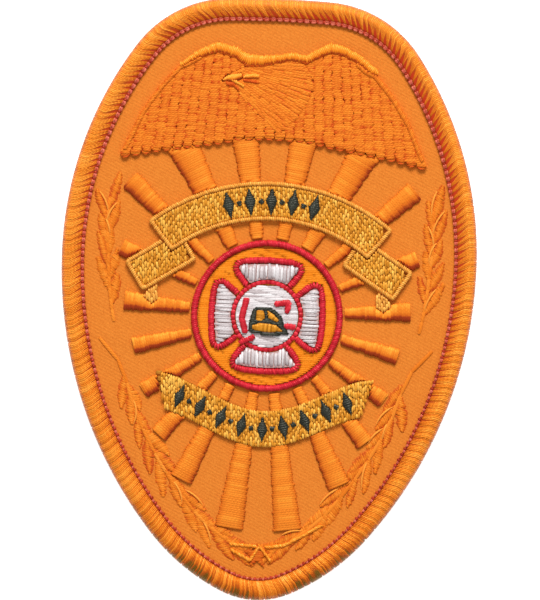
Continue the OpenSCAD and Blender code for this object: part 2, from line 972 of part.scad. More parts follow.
module tools() {
    color("#D82A38")
        for (t = TOOLS)
            layer(hub_top, hub_top + tool_h)
                intersection() {
                    difference() {
                        hull()
                            for (p = t)
                                translate(helmet_point(p))
                                    circle(d = tool_w, $fn = 24);
                        grown(gap)
                            polygon(helmet_points(HELMET));
                    }
                    translate([0, hub_y])
                        circle(hub_d / 2 - hub_line - 2 * gap);
                }
}

// Leaf between two arcs that meet in points, from the origin towards +Y
module leaf() {
    r = (leaf_l * leaf_l + leaf_w * leaf_w) / (4 * leaf_w);
    translate([0, leaf_l / 2])
        intersection() {
            translate([r - leaf_w / 2, 0])
                circle(r);
            translate([leaf_w / 2 - r, 0])
                circle(r);
        }
}

// Spray on the right side, between two distances along the outline, its leaves pointing to the end
stem_steps = 20;
bare_stem = 0.14;
module spray(from, to, sway) {
    span = to - from;
    function stem(share) = along(from + span * share, spray_margin + lookup(share, sway));
    function ahead(share) = (stem(share + 0.01) - stem(share)) / norm(stem(share + 0.01) - stem(share));
    function beside(share, side) = stem(share) + side * stem_w / 2 * [-ahead(share).y, ahead(share).x];
    one_side = [for (i = [0 : stem_steps]) beside(i / stem_steps, 1)];
    other_side = [for (i = [stem_steps : -1 : 0]) beside(i / stem_steps, -1)];
    layer(0, spray_h)
        polygon(concat(one_side, other_side));
    leaves = floor(abs(span) * (1 - bare_stem) / leaf_pitch);
    for (i = [0 : leaves - 1]) {
        share = bare_stem + (1 - bare_stem) * i / leaves;
        splay = i % 2 == 0 ? leaf_splay : -leaf_splay;
        layer(0, spray_h)
            translate(stem(share))
                rotate(splay + atan2(-ahead(share).x, ahead(share).y))
                    leaf();
    }
}

// What the sprays keep clear of: the rays' ends, the star, and the other side
module beside_sprays() {
    for (r = RAYS)
        ray_shape(r[0], r[1], ray_start, ray_reach(r[0]) + gap, gap);
    translate([0, star_margin - half_h])
        circle(star_r + gap);
    translate([gap / 2 - half_w, -half_h])
        square([half_w, badge_h]);
}

module spray_upper(side) {
    color("#F0882A")
        mirror([side, 0, 0])
            difference() {
                spray(run_at(upper_stem_from), run_at(upper_stem_to), UP_SWAY);
                layer(-past, spray_h + past)
                    beside_sprays();
            }
}

module spray_lower(side) {
    color("#F0882A")
        mirror([side, 0, 0])
            difference() {
                spray(run_at(lower_stem_from), RUNS[6][0] - lower_stem_left, LOW_SWAY);
                layer(-past, spray_h + past)
                    beside_sprays();
            }
}

star_waist = 0.42;
module base_star() {
    color("#F88A1E")
        layer(0, star_h)
            translate([0, star_margin - half_h])
                polygon([for (i = [0 : 9]) star_r * (i % 2 == 0 ? 1 : star_waist) * out(36 * i)]);
}

RAY_NAMES = [for (i = [1 : 20]) str("ray_", i < 10 ? "0" : "", i)];

ground_twill();
merrow_border();
wing(0);  // eagle_wing_right
wing(1);  // eagle_wing_left
eagle_head();
eagle_beak();
eagle_brow();
eagle_crest();
scroll_upper();
scroll_upper_edge();
tail(0);  // scroll_tail_right
tail(1);  // scroll_tail_left
tail_edge(0);  // scroll_tail_edge_right
tail_edge(1);  // scroll_tail_edge_left
fold(0);  // scroll_fold_right
fold(1);  // scroll_fold_left
scroll_lower();
mark_row(arc_places(marks, mark_pitch(mark_w)), mark_w, mark_l);  // scroll_upper_marks
mark_row(wave_places(low_marks, mark_pitch(low_mark_w)), low_mark_w, low_mark_l);  // scroll_lower_marks
medallion_field();
medallion_ring();
cross_outline();
cross_arm(0);  // cross_arm_top
cross_arm(1);  // cross_arm_right
cross_arm(2);  // cross_arm_bottom
cross_arm(3);  // cross_arm_left
hub_disc();
helmet_outline();
helmet_panels();
tools();  // helmet_tools
spray_upper(0);  // spray_upper_right
spray_upper(1);  // spray_upper_left
spray_lower(0);  // spray_lower_right
spray_lower(1);  // spray_lower_left
base_star();
for (i = [0 : 19])
    ray(i % 10, i < 10 ? 0 : 1);
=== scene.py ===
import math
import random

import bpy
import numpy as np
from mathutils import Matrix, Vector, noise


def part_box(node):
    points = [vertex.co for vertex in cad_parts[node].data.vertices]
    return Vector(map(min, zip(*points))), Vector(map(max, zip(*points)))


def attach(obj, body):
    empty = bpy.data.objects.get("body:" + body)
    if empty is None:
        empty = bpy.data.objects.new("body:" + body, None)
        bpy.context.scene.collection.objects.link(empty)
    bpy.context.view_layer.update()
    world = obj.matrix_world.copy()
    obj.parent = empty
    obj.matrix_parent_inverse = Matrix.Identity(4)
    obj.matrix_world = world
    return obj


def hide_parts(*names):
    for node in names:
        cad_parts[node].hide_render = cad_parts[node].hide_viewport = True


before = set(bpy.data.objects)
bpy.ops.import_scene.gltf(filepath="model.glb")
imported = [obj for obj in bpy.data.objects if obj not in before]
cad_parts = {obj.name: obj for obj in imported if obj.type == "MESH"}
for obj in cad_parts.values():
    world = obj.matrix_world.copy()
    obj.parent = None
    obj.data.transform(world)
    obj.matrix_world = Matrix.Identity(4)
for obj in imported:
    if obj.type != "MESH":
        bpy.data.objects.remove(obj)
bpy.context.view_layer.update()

# %% [markdown]
# # An embroidered badge patch, thread by thread
# The real thing is a piece of orange twill, worked all over on an embroidery machine and closed with
# an overlocked border. What the eye reads is thread: satin columns that arch over the cloth, short
# rows that lock together like bricks, and thick strands that wrap the edge. One plate with a bump map
# would be quick, but it would stay flat when seen from the side, so every stitch here is a small bent
# tube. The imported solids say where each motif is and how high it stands, and the stitches are laid on
# their outlines. Lengths are in millimetres, and they turn to metres when a mesh is made.

MM = 0.001
SEED = 7
rng = random.Random(SEED)
scene = bpy.context.scene

# %% [markdown]
# ## Reading a motif's outline
# On the real badge a motif's outline is a line of needle holes. Here each motif was packed as a solid,
# and the faces of it that look up make its plan. The outline could be typed in again, but it would
# soon stray from the solid, so it is read from the mesh: the edges that only one upward face uses are
# the plan's outline. Rows of stitches need the edges in any order, and edgings need them as loops.

# %% The outline of a solid's upward faces
LOOKS_UP = 0.2  # least height of a face's unit normal


def plan_edges(node, above=0.0):
    """Edges round the faces of a solid that look up and lie above a height, as [from, to] in mm."""
    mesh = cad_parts[node].data
    flat = np.empty(len(mesh.vertices) * 3)
    mesh.vertices.foreach_get("co", flat)
    points = np.round(flat.reshape(-1, 3) / MM, 3)
    used = set()
    for face in mesh.polygons:
        corners = [tuple(points[v]) for v in face.vertices]
        if face.normal.z > LOOKS_UP and min(c[2] for c in corners) > above:
            ring = [c[:2] for c in corners]
            for a, b in zip(ring, ring[1:] + ring[:1]):
                # An edge between two upward faces is met once each way, and cancels out.
                if (b, a) in used:
                    used.discard((b, a))
                elif a != b:
                    used.add((a, b))
    return np.array(sorted(used))


def plan_loops(edges):
    """The same edges chained into closed loops, each an array of points that runs once round."""
    onward = {}
    for a, b in edges:
        onward.setdefault(tuple(a), []).append(tuple(b))
    loops = []
    while onward:
        start = here = next(iter(onward))
        loop = []
        while here in onward:
            loop.append(here)
            ahead = onward[here]
            there = ahead.pop()
            if not ahead:
                del onward[here]
            here = there
            if here == start:
                break
        loops.append(np.array(loop))
    return sorted(loops, key=len, reverse=True)


print("edges round the badge's cloth:", len(plan_edges("ground_twill")))

# %% Lines through an outline
def chords(edges, start, along):
    """Where a line through start runs inside an outline, as pairs of distances along it."""
    across = np.array((-along[1], along[0]))
    a, b = edges[:, 0] - start, edges[:, 1] - start
    side_a, side_b = a @ across, b @ across
    cut = (side_a > 0) != (side_b > 0)
    share = side_a[cut] / (side_a[cut] - side_b[cut])
    hits = np.sort(a[cut] @ along + share * ((b[cut] - a[cut]) @ along))
    return hits[: len(hits) // 2 * 2].reshape(-1, 2)


def clear_of(spans, covers, start, along):
    """The spans of a line less what covering outlines take of it."""
    for cover in covers:
        for a, b in chords(cover, start, along):
            kept = []
            for low, high in spans:
                if b <= low or a >= high:
                    kept.append((low, high))
                    continue
                if a > low:
                    kept.append((low, a))
                if b < high:
                    kept.append((b, high))
            spans = kept
    return spans


def inside(edges, point):
    """True if a point lies inside an outline."""
    return any(a < 0 < b for a, b in chords(edges, np.asarray(point), np.array((1.0, 0.0))))


def heading(degrees):
    """Unit vector at an angle from +X."""
    return np.array((math.cos(math.radians(degrees)), math.sin(math.radians(degrees))))


def height_of(node):
    """Lowest and highest z of a solid, in mm."""
    low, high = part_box(node)
    return low[2] / MM, high[2] / MM


cloth_under, cloth_top = height_of("ground_twill")
raised = cloth_top + 0.4  # the tops of scrolls and arms lie above this, and their slopes' feet below
high_up = cloth_top + 0.5  # the same for the eagle
print("cloth's top at", round(cloth_top, 3), "mm;", len(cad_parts), "solids")

# %% [markdown]
# ## A stitch as a bent tube
# Embroidery thread is two twisted plies of rayon, about 0.4 mm across. Once sewn down it is wider than
# high, and it thins where the needle pulls it into the cloth. A curve object with a bevel could draw
# it, but thousands of curves are slow and their ends stay open. So a pile collects centrelines, and
# builds one closed mesh from them all at once. Each stitch also carries a random tint, and its own run
# and turn, for the material to draw the twist with.
#
# Six corners are enough for a thread that is two or three pixels wide. The edges along the two widest
# corners are marked sharp, because smooth shading round them draws a dark line beside every thread.
# The caps that close the ends are shaded flat for the same reason.

# %% A thread's section
THREAD_W = 0.38
THREAD_H = 0.15
ACROSS = np.array((1.0, 0.62, 0.0, -0.62, -1.0, 0.0))
UPWARD = np.array((-0.2, 0.72, 1.0, 0.72, -0.2, -1.0))
SIDES = len(ACROSS)
RIMS = (0, 4)
half_thread = THREAD_H / 2
print("thread's section:", THREAD_W, "by", THREAD_H, "mm,", SIDES, "corners")


def tube_rings(stitches):
    """Corners of the tubes round stitches with equally many points, and the run to each ring."""
    line = np.array([s[0] for s in stitches])
    beside = np.array([s[1] for s in stitches])[:, None, :]
    wide = np.array([s[2] for s in stitches])[:, :, None, None] / 2
    high = np.array([s[3] for s in stitches])[:, :, None, None] / 2
    ahead = np.gradient(line, axis=1)
    ahead /= np.linalg.norm(ahead, axis=2, keepdims=True)
    up = np.cross(ahead, np.broadcast_to(beside, ahead.shape))
    up /= np.linalg.norm(up, axis=2, keepdims=True)
    level, rise = wide * ACROSS[:, None], high * UPWARD[:, None]
    rings = line[:, :, None, :] + level * beside[:, :, None, :] + rise * up[:, :, None, :]
    step = np.linalg.norm(np.diff(line, axis=1), axis=2)
    run = np.concatenate([np.zeros((len(line), 1)), np.cumsum(step, axis=1)], axis=1)
    run += np.array([s[5] for s in stitches])[:, None]
    return rings, run


def tube_faces(first, count):
    """Quads along tubes of a number of rings, and their two caps, from each tube's first corner."""
    k = np.arange(SIDES)
    k2 = (k + 1) % SIDES
    quads = []
    for i in range(count - 1):
        a, b = first + i * SIDES, first + (i + 1) * SIDES
        quads.extend(np.stack([a + k, a + k2, b + k2, b + k], axis=2).reshape(-1, 4).tolist())
    caps = (first + k[::-1]).tolist() + (first + (count - 1) * SIDES + k).tolist()
    return quads, caps


def sharpen_rims(mesh):
    """Marks the edges along the two widest corners of each tube as sharp."""
    ends = np.empty(len(mesh.edges) * 2, int)
    mesh.edges.foreach_get("vertices", ends)
    ends = ends.reshape(-1, 2) % SIDES
    rims = (ends[:, 0] == ends[:, 1]) & np.isin(ends[:, 0], RIMS)
    mesh.attributes.new("sharp_edge", "BOOLEAN", "EDGE").data.foreach_set("value", rims)


# %% Making a mesh a piece of the badge
def finish_piece(name, mesh, material, slot, *nodes):
    """Gives a mesh its material and its body, and hides the solids that it stands for. Its slot is not
    used.
    """
    piece = bpy.data.objects.new(name, mesh)
    scene.collection.objects.link(piece)
    mesh.materials.append(material)
    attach(piece, "root")
    if nodes:
        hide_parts(*nodes)
    mesh.validate()
    print(f"{name}: {sum(len(p.vertices) - 2 for p in mesh.polygons)} triangles")
    return piece


# %% Piling up stitches and building them as one mesh
END_SHADE_INWARD = 0.4  # share of an end's painted shade that its neighbour takes


class Pile:
    """Stitches that become one piece."""

    def __init__(self, tints=(0.0, 1.0)):
        self.tints = tints
        self.by_length = {}

    def lay(self, line, beside, wide=THREAD_W, high=THREAD_H, ends=0.45, tint=None, blush=0.0):
        """Adds a stitch by its centreline and the level way across it. An end shade darkens its ends:
        painted shade.
        """
        line = np.asarray(line, float)
        taper = np.ones(len(line))
        taper[0] = taper[-1] = ends
        tint = rng.uniform(*self.tints) if tint is None else tint
        tint = tint * np.ones(len(line))
        blush = blush * np.ones(2)
        # Painted shade: the ends, and less so their neighbours, are darkened.
        tint[[0, -1]] -= blush
        tint[[1, -2]] -= blush * END_SHADE_INWARD
        beside = (beside[0], beside[1], 0.0)
        stitch = (line, beside, wide * taper, high * taper, np.clip(tint, 0, 1), rng.random())
        self.by_length.setdefault(len(line), []).append(stitch)

    def build(self, name, material, slot, *nodes):
        """Makes one mesh of all the stitches, which holds each corner's tint, run and turn."""
        points, faces, caps, tints, runs, turns = [], [], [], [], [], []
        base = 0
        for count, stitches in sorted(self.by_length.items()):
            rings, run = tube_rings(stitches)
            points.append(rings.reshape(-1, 3))
            runs.append(np.repeat(run.reshape(-1), SIDES))
            turns.append(np.tile(np.arange(SIDES) / SIDES, len(stitches) * count))
            tints.append(np.repeat(np.concatenate([s[4] for s in stitches]), SIDES))
            first = base + np.arange(len(stitches))[:, None] * count * SIDES
            quads, ends = tube_faces(first, count)
            faces += quads
            caps += ends
            base += len(stitches) * count * SIDES
        mesh = bpy.data.meshes.new(name)
        mesh.from_pydata((np.concatenate(points) * MM).tolist(), [], faces + caps)
        mesh.polygons.foreach_set("use_smooth", [True] * len(faces) + [False] * len(caps))
        sharpen_rims(mesh)
        for label, values in (("tint", tints), ("run", runs), ("turn", turns)):
            mesh.attributes.new(label, "FLOAT", "POINT").data.foreach_set("value", np.concatenate(values))
        return finish_piece(name, mesh, material, slot, *nodes)


# %% [markdown]
# ## Padding under the top threads
# Before the top threads go on, the machine lays a loose underlay that lifts them and keeps the cloth
# from showing through. It could be stitched here too, but all that is seen of it is its colour in the
# gaps, so a copy of the motif's solid, pressed lower, does for it. Without it the gaps look down to
# the cloth and turn nearly black.

# %% Pressing a solid lower for its padding
def padding(name, material, slot, *nodes, share):
    """One piece made of the nodes' shapes, pressed to a share of their height above their own feet."""
    points, faces = [], []
    for node in nodes:
        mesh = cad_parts[node].data
        foot, base = height_of(node)[0] * MM, len(points)
        points += [(v.co.x, v.co.y, foot + (v.co.z - foot) * share) for v in mesh.vertices]
        faces += [[base + v for v in face.vertices] for face in mesh.polygons]
    mesh = bpy.data.meshes.new(name)
    mesh.from_pydata(points, [], faces)
    return finish_piece(name, mesh, material, slot)


# %% [markdown]
# ## Colours and thread materials
# Rayon thread is spun smooth, twisted, and dyed through, and it shines like silk. Light that enters a
# filament comes out again in the dye's own colour, so its highlights are golden on orange thread and
# not white. A picture of thread could be laid over each motif, but it wouldn't follow the stitches. A
# dielectric shader with a tinted specular does, and it takes each stitch's own tint. Crevices between
# orange threads turn red by themselves, because light that bounces between them loses its green, and
# the darkest stops of the cones paint more of that shade onto stitch ends and shaded sides. The two
# plies are a slanting wave in the bump. A real ply turns about once a millimetre, which is just large
# enough to show.

# %% One function for colours, and one for nodes
def linear(hex_colour):
    """A colour as #RRGGBB, in the linear numbers that shaders take."""
    parts = [int(hex_colour[i : i + 2], 16) / 255 for i in (1, 3, 5)]
    return [c / 12.92 if c <= 0.04045 else ((c + 0.055) / 1.055) ** 2.4 for c in parts] + [1.0]


def add(tree, kind, settings=None, **links):
    """Adds a node, sets its properties and inputs, and links its other inputs to sockets."""
    node = tree.nodes.new(kind)
    for key, value in (settings or {}).items():
        if isinstance(key, int) or key in node.inputs:
            node.inputs[key].default_value = value
        else:
            setattr(node, key, value)
    for key, socket in links.items():
        tree.links.new(socket, node.inputs[key.replace("_", " ")])
    return node


def new_material(name):
    """An empty node material, and its tree."""
    material = bpy.data.materials.new(name)
    material.use_nodes = True
    material.node_tree.nodes.clear()
    return material, material.node_tree


print("the thread's middle orange in linear numbers:", [round(c, 3) for c in linear("#E27220")[:3]])

# %% Twisted rayon
PLIES = 2
PLY_TURN = 1.1  # mm of thread for one full turn of a ply
PLY_DEPTH = 0.02
RAYON_IOR = 1.53
RAYON_GLOSS = 0.7


def rayon(name, stops, glint, roughness=0.38):
    """Twisted rayon thread, dyed through: its tint runs over colour stops from dark to light."""
    material, tree = new_material(name)
    tint = add(tree, "ShaderNodeAttribute", {"attribute_name": "tint"})
    ramp = add(tree, "ShaderNodeValToRGB", Fac=tint.outputs["Fac"])
    stops = stops.split()
    for i, colour in enumerate(stops):
        place = i / (len(stops) - 1)
        stop = ramp.color_ramp.elements[i] if i < 2 else ramp.color_ramp.elements.new(place)
        stop.position, stop.color = place, linear(colour)
    run = add(tree, "ShaderNodeAttribute", {"attribute_name": "run"})
    turn = add(tree, "ShaderNodeAttribute", {"attribute_name": "turn"})
    turns = add(tree, "ShaderNodeMath", {"operation": "DIVIDE", 1: PLY_TURN})
    tree.links.new(run.outputs["Fac"], turns.inputs[0])
    slant = add(tree, "ShaderNodeMath", {"operation": "ADD"})
    tree.links.new(turns.outputs[0], slant.inputs[0])
    tree.links.new(turn.outputs["Fac"], slant.inputs[1])
    angle = add(tree, "ShaderNodeMath", {"operation": "MULTIPLY", 1: 2 * PLIES * math.pi})
    tree.links.new(slant.outputs[0], angle.inputs[0])
    wave = add(tree, "ShaderNodeMath", {"operation": "SINE"})
    tree.links.new(angle.outputs[0], wave.inputs[0])
    bump = add(
        tree, "ShaderNodeBump", {"Strength": 0.5, "Distance": PLY_DEPTH * MM}, Height=wave.outputs[0]
    )
    shader = add(
        tree,
        "ShaderNodeBsdfPrincipled",
        {
            "Roughness": roughness,
            "IOR": RAYON_IOR,
            "Specular IOR Level": RAYON_GLOSS,
            "Specular Tint": linear(glint),
        },
        Base_Color=ramp.outputs["Color"],
        Normal=bump.outputs["Normal"],
    )
    add(tree, "ShaderNodeOutputMaterial", Surface=shader.outputs["BSDF"])
    return material


print("ridges along a thread lie", PLY_TURN / PLIES, "mm apart")

# %% [markdown]
# ## The badge's threads
# A patch is sewn from a dozen cones of the same rayon, dyed in different baths. Each cone gets its own
# material here, with colour stops from its darkest to its lightest tint and the colour of its glint.
# One material with a random hue would be shorter, but the cones differ in kind: red glints pink, and
# gold glints yellow. Several cones' darkest and lightest stops serve as painted shade and painted
# highlight.

# %% The orange cones
# Satin thread, machine-wound and worn by handling: a broad soft shine, and a red low stop that paints shade
# where stitches dip and under raised parts.
orange_rayon = rayon(
    "orange_rayon_thread", "#C84014 #D8641C #E27220 #EC8026 #FAA63A", "#FFC850", roughness=0.5
)
# The same thread drawn tight over the rays: a tighter shine, and deep red on the side away from light.
ray_rayon = rayon("ray_orange_thread", "#A4301A #D8641C #E27220 #EC8026 #FAA63A", "#FFC850", roughness=0.45)
# Loose underlay, never pressed or handled: nearly matt, one even red-orange deep in the gaps. It is redder
# than the top thread, which paints in the red of light bounced between threads.
padding_rayon = rayon("orange_padding_thread", "#DC5020 #DC5020", "#FFC850", roughness=0.6)
# Fresh thread of the topmost satin, smooth and clean: the brightest glint on the badge.
crest_rayon = rayon("bright_orange_thread", "#D04A1C #EE8218 #F69026 #FFA438", "#FFE080", roughness=0.34)
# Thread dyed to match the cloth, sewn loosely: soft, so its relief sets it off, with a red low stop for the
# painted shade at stitch ends and a top stop for the painted highlight on leaf edges.
ground_rayon = rayon("ground_orange_thread", "#C84A1C #E0701C #EC8228 #F89A3C", "#FFC850", roughness=0.5)
# Long flat stitches of the round field: even, with the shine running along the rows.
field_rayon = rayon("field_orange_thread", "#E87A14 #F0841A #F68C22", "#FFC850")
# Heavier overlock thread: its stops run from a dark brown of painted shade to a pale gold of painted
# highlight at the top.
border_rayon = rayon("border_orange_thread", "#74501A #B84E16 #DC701A #EC8426 #F89A36 #FFB858", "#FFC850")
print("orange threads:", len(bpy.data.materials))

# %% The red, gold, white and black cones
# Filler thread inside the border: orange beneath, red in the slots, where only bounced light comes.
core_rayon = rayon("red_core_thread", "#D07022 #A8441A #C83A1E", "#FF8050")
# Chain thread, looped by the overlock machine: coral, with a pink glint on each loop.
chain_rayon = rayon("coral_chain_thread", "#C4503A #D05C46 #DC7058", "#FFB0A0")
# Bobbin thread, pulled tight through the chain: a dull brick red between the loops.
bobbin_rayon = rayon("brick_red_bobbin_thread", "#942818 #A8301E #B83C28", "#FF9070")
# Lustrous gold of the scrolls: short stitches that sparkle one by one.
gold_rayon = rayon("old_gold_thread", "#CC7C1C #E4942A #FABA50", "#FFE480")
# Underlay below the gold: brown as painted shade, so that the needle holes stay dark.
underlay_rayon = rayon("painted_shade_underlay_thread", "#B06C20 #BA7626 #C4802C", "#FFC060")
# Deeper gold of the helmet's panels: quieter than the scrolls.
dark_gold_rayon = rayon("dark_gold_thread", "#A8640E #C87C1A #E8982E", "#FFD070")
# Pale gold of the edging: a light line that holds each scroll together.
pale_gold_rayon = rayon("pale_gold_thread", "#E09034 #EEA040 #F8B04C", "#FFF0A0")
# Signal red, sewn dense and narrow: a saturated line with a pink glint.
red_rayon = rayon("signal_red_thread", "#B41624 #CC2030 #DC2C3C", "#FF9090")
# Bleached white, whose filaments throw the most light: grey only where threads part.
white_rayon = rayon("white_thread", "#B4A4A4 #D2C6C6 #F0EAEA", "#FFFFFF")
# Underlay below the white arms, in a pinkish grey: the gaps between white threads look pinkish.
pink_rayon = rayon("pinkish_padding_thread", "#C4A09A #C4A09A", "#FFD0C8", roughness=0.6)
# Black thread is dyed a very deep green-grey, so its relief still reads.
black_rayon = rayon("black_thread", "#161812 #1E211A #282B22", "#C8C8B8")
print("thread materials:", len(bpy.data.materials))

# %% [markdown]
# ## Ways to stitch
# Three stitches make nearly everything on the badge. Satin lays threads side by side straight across
# a shape, high in the middle. Brick fill, which machines use for wide areas, breaks long lines into
# short stitches whose needle holes are offset from row to row. An edging is a narrow satin column that
# follows a line. A repeated instance of one stitch could stand in for all, but real stitches differ in
# length with the shape they fill. So each way is a function that takes the outline and puts stitches
# on a pile.

# %% Satin
SATIN_SHARES = (0.0, 0.07, 0.25, 0.5, 0.75, 0.93, 1.0)
SHORT_SHARES = (0.0, 0.2, 0.5, 0.8, 1.0)
SHORT_SPAN = 1.2  # a stitch below this needs fewer points
FULL_SPAN = 1.5  # a stitch below this can't arch to its full height
SATIN_LEAN = 0.008
PITCH_WANDER = 0.06
TOP_WANDER = 0.01
FIRST_RISE = 0.3  # share of its height that the first thread of an eased column has
SLOW_START = 4  # such a column rises this many times as slowly as it falls
LIT, LIT_PART, DARK_PART = 0.15, 0.4, 0.42


def arched(p, q, foot, side, top, shares=SATIN_SHARES):
    """Centreline from p to q that leaves the cloth at height foot and arches from side up to top."""
    p, q = np.asarray(p), np.asarray(q)
    line = []
    for s in shares:
        z = foot if s in (0.0, 1.0) else side + (top - side) * (1 - (2 * s - 1) ** 2)
        line.append((*(p + (q - p) * s), z))
    return line


def toned(upward):
    """Change of tint along a thread, from its lower end at 0 to its upper at 1: dark, plain, lit."""
    lit = np.clip(upward / LIT_PART - (1 / LIT_PART - 1), 0, 1)
    dark = np.clip(1 - upward / DARK_PART, 0, 1)
    return LIT * lit - dark


def satin(pile, edges, start, ahead, reach, foot, side, top, pitch=0.36, ragged=0.04, shortest=0.35,
          covers=(), grow=0.0, shade=0.0, eased=0.0, **kind):
    """Fills an outline with threads across the direction ahead, from start on for a distance.

    Ends are ragged by a length and grow past the outline by another. What covers hide is left out.
    A shade darkens the lower ends of upright threads, and an eased column rises over that distance.
    """
    count = int(reach / pitch)
    across = np.array((-ahead[1], ahead[0]))
    for i in range(count):
        lean = (SATIN_LEAN if i % 2 else -SATIN_LEAN) + rng.uniform(-SATIN_LEAN, SATIN_LEAN)
        line_way = across + ahead * lean
        line_way /= np.linalg.norm(line_way)
        origin = start + ahead * (i + 0.5 + rng.uniform(-PITCH_WANDER, PITCH_WANDER)) * pitch
        for low, high in clear_of(chords(edges, origin, line_way), covers, origin, line_way):
            if high - low < shortest:
                continue
            shares = SHORT_SHARES if high - low < SHORT_SPAN else SATIN_SHARES
            low = low - grow + rng.uniform(-ragged, ragged)
            high = high + grow + rng.uniform(-ragged, ragged)
            rise = min(1.0, (high - low) / FULL_SPAN)
            if eased:
                from_end = min((i + 0.5) / SLOW_START, count - i - 0.5) * pitch
                rise *= min(1.0, FIRST_RISE + from_end / eased)
            crown = side + (top - side) * rise + rng.uniform(-TOP_WANDER, TOP_WANDER)
            line = arched(origin + line_way * low, origin + line_way * high, foot, side, crown, shares)
            if shade:
                evenly = np.linspace(0, 1, len(line)) if shares is SHORT_SHARES else np.array(shares)
                upward = evenly if line_way[1] > 0 else 1 - evenly
                kind["tint"] = rng.uniform(*pile.tints) + shade * line_way[1] ** 2 * toned(upward)
            pile.lay(line, ahead, **kind)


print("points along a satin thread:", len(SATIN_SHARES), "or", len(SHORT_SHARES))

# %% Brick fill
LEAST_PART = 0.35  # share of a full stitch below which a row's end isn't cut off as its own stitch
SHORTEST_STITCH = 0.2
SHOULDER = 0.6  # share of a short stitch's height that it reaches beside its ends


def brick_fill(pile, edges, start, ahead, reach, low_z, high_z, pitch, length, offsets=3, lean=0.0,
               uneven=0.04, rough=0.03, **kind):
    """Fills an outline with lines across ahead that are broken into short stitches like bricks."""
    across = np.array((-ahead[1], ahead[0]))
    for i in range(int(reach / pitch)):
        origin = start + ahead * (i + 0.5) * pitch
        phase = (i % offsets) / offsets * length + rng.uniform(-uneven, uneven) * length
        for low, high in chords(edges, origin, across):
            holes = [low]
            hole = (math.floor((low - phase) / length) + 1) * length + phase
            while hole < high - LEAST_PART * length:
                if hole > low + LEAST_PART * length:
                    holes.append(hole)
                hole += length * rng.uniform(1 - uneven, 1 + uneven)
            holes.append(high)
            for a, b in zip(holes, holes[1:]):
                if b - a > SHORTEST_STITCH:
                    top = high_z - rng.uniform(0.0, rough)
                    swing = ahead * rng.uniform(-lean, lean)
                    p, q = origin + across * a - swing, origin + across * b + swing
                    line = arched(p, q, low_z, low_z + SHOULDER * (top - low_z), top, SHORT_SHARES)
                    pile.lay(line, ahead, **kind)


print("a fill's shortest stitch in mm:", SHORTEST_STITCH)

# %% Lines walked in even steps
WALK_STEP = 0.1  # mm between the points of a line that is walked closely


def even_steps(line, step, closed=True):
    """A line of points walked again in equal steps."""
    line = np.vstack([line, line[:1]]) if closed else np.asarray(line)
    run = np.concatenate([[0], np.cumsum(np.linalg.norm(np.diff(line, axis=0), axis=1))])
    count = max(3, int(round(run[-1] / step)))
    at = np.linspace(0, run[-1], count, endpoint=not closed)
    return np.stack([np.interp(at, run, line[:, 0]), np.interp(at, run, line[:, 1])], axis=1)


def rounded(line, step, reach):
    """A closed line of even steps whose corners are rounded by averaging twice over a reach."""
    near = int(reach / step)
    for _ in range(2):
        line = sum(np.roll(line, k, axis=0) for k in range(-near, near + 1)) / (2 * near + 1)
    return line


def normals_of(line, ease=0, closed=True):
    """Unit vectors to the right of a walk along a line, eased over some neighbours."""
    if closed:
        ahead = np.roll(line, -1, axis=0) - np.roll(line, 1, axis=0)
    else:
        ahead = np.gradient(line, axis=0)
    ahead /= np.linalg.norm(ahead, axis=1, keepdims=True)
    right = np.stack([ahead[:, 1], -ahead[:, 0]], axis=1)
    total = right.copy()
    for k in range(1, ease + 1):
        total += np.roll(right, k, axis=0) + np.roll(right, -k, axis=0)
    return total / np.linalg.norm(total, axis=1, keepdims=True)


def area_of(loop):
    """Area inside a loop, positive where it runs anticlockwise."""
    x, y = loop[:, 0], loop[:, 1]
    return float((x * np.roll(y, -1) - np.roll(x, -1) * y).sum() / 2)


print("a line walked closely has a point every", WALK_STEP, "mm")

# %% Edging
EDGE_RAGGED = 0.05
EDGE_UNEVEN = 0.02
LESS_SLANT = 0.7  # every other stitch of an edging slants by this much of the full slant


def edging(pile, line, way, width, foot, side, top, keep=None, slant=0.25, **kind):
    """Short satin stitches from each point of a line, as wide as the edging is."""
    for i, (p, n) in enumerate(zip(line, way)):
        if keep and not keep(p + n * width / 2):
            continue
        ahead = np.array((-n[1], n[0]))
        shift = ahead * slant * (1 if i % 2 else LESS_SLANT) * width / 2
        near = p - shift + n * rng.uniform(-EDGE_RAGGED, EDGE_RAGGED)
        far = p + n * (width + rng.uniform(-EDGE_RAGGED, EDGE_RAGGED)) + shift
        crown = top + rng.uniform(-EDGE_UNEVEN, EDGE_UNEVEN)
        pile.lay(arched(near, far, foot, side, crown, SHORT_SHARES), ahead, **kind)


print("an edging's ends stray by up to", EDGE_RAGGED, "mm")

# %% [markdown]
# ## The badge's rim
# The border and the sprays follow the badge's edge, as the machine's operator follows it by eye. The
# edge could be described by arcs again, but the cloth's own outline is at hand. Smoothed and walked in
# equal steps, it gives every point on the edge a place and an outward direction.

# %% Walking round the rim
WRAP = 0.9  # the border reaches this far past the cloth's edge
RIM_STEP = 0.1
RIM_EASE = 1.25

rim = plan_loops(plan_edges("ground_twill"))[0]
if area_of(rim) < 0:
    rim = rim[::-1]
rim = rounded(even_steps(rim, RIM_STEP), RIM_STEP, RIM_EASE)
rim_out = normals_of(rim)
rim_length = len(rim) * RIM_STEP
print("rim's length in mm:", round(rim_length, 1))


def at_rim(run, inward):
    """Point at a distance round the rim and a distance in from the badge's edge, and its outward way."""
    place = run / RIM_STEP % len(rim)
    i = int(place)
    j, share = (i + 1) % len(rim), place - i
    point = rim[i] * (1 - share) + rim[j] * share
    out = rim_out[i] * (1 - share) + rim_out[j] * share
    return point + out * (WRAP - inward), out


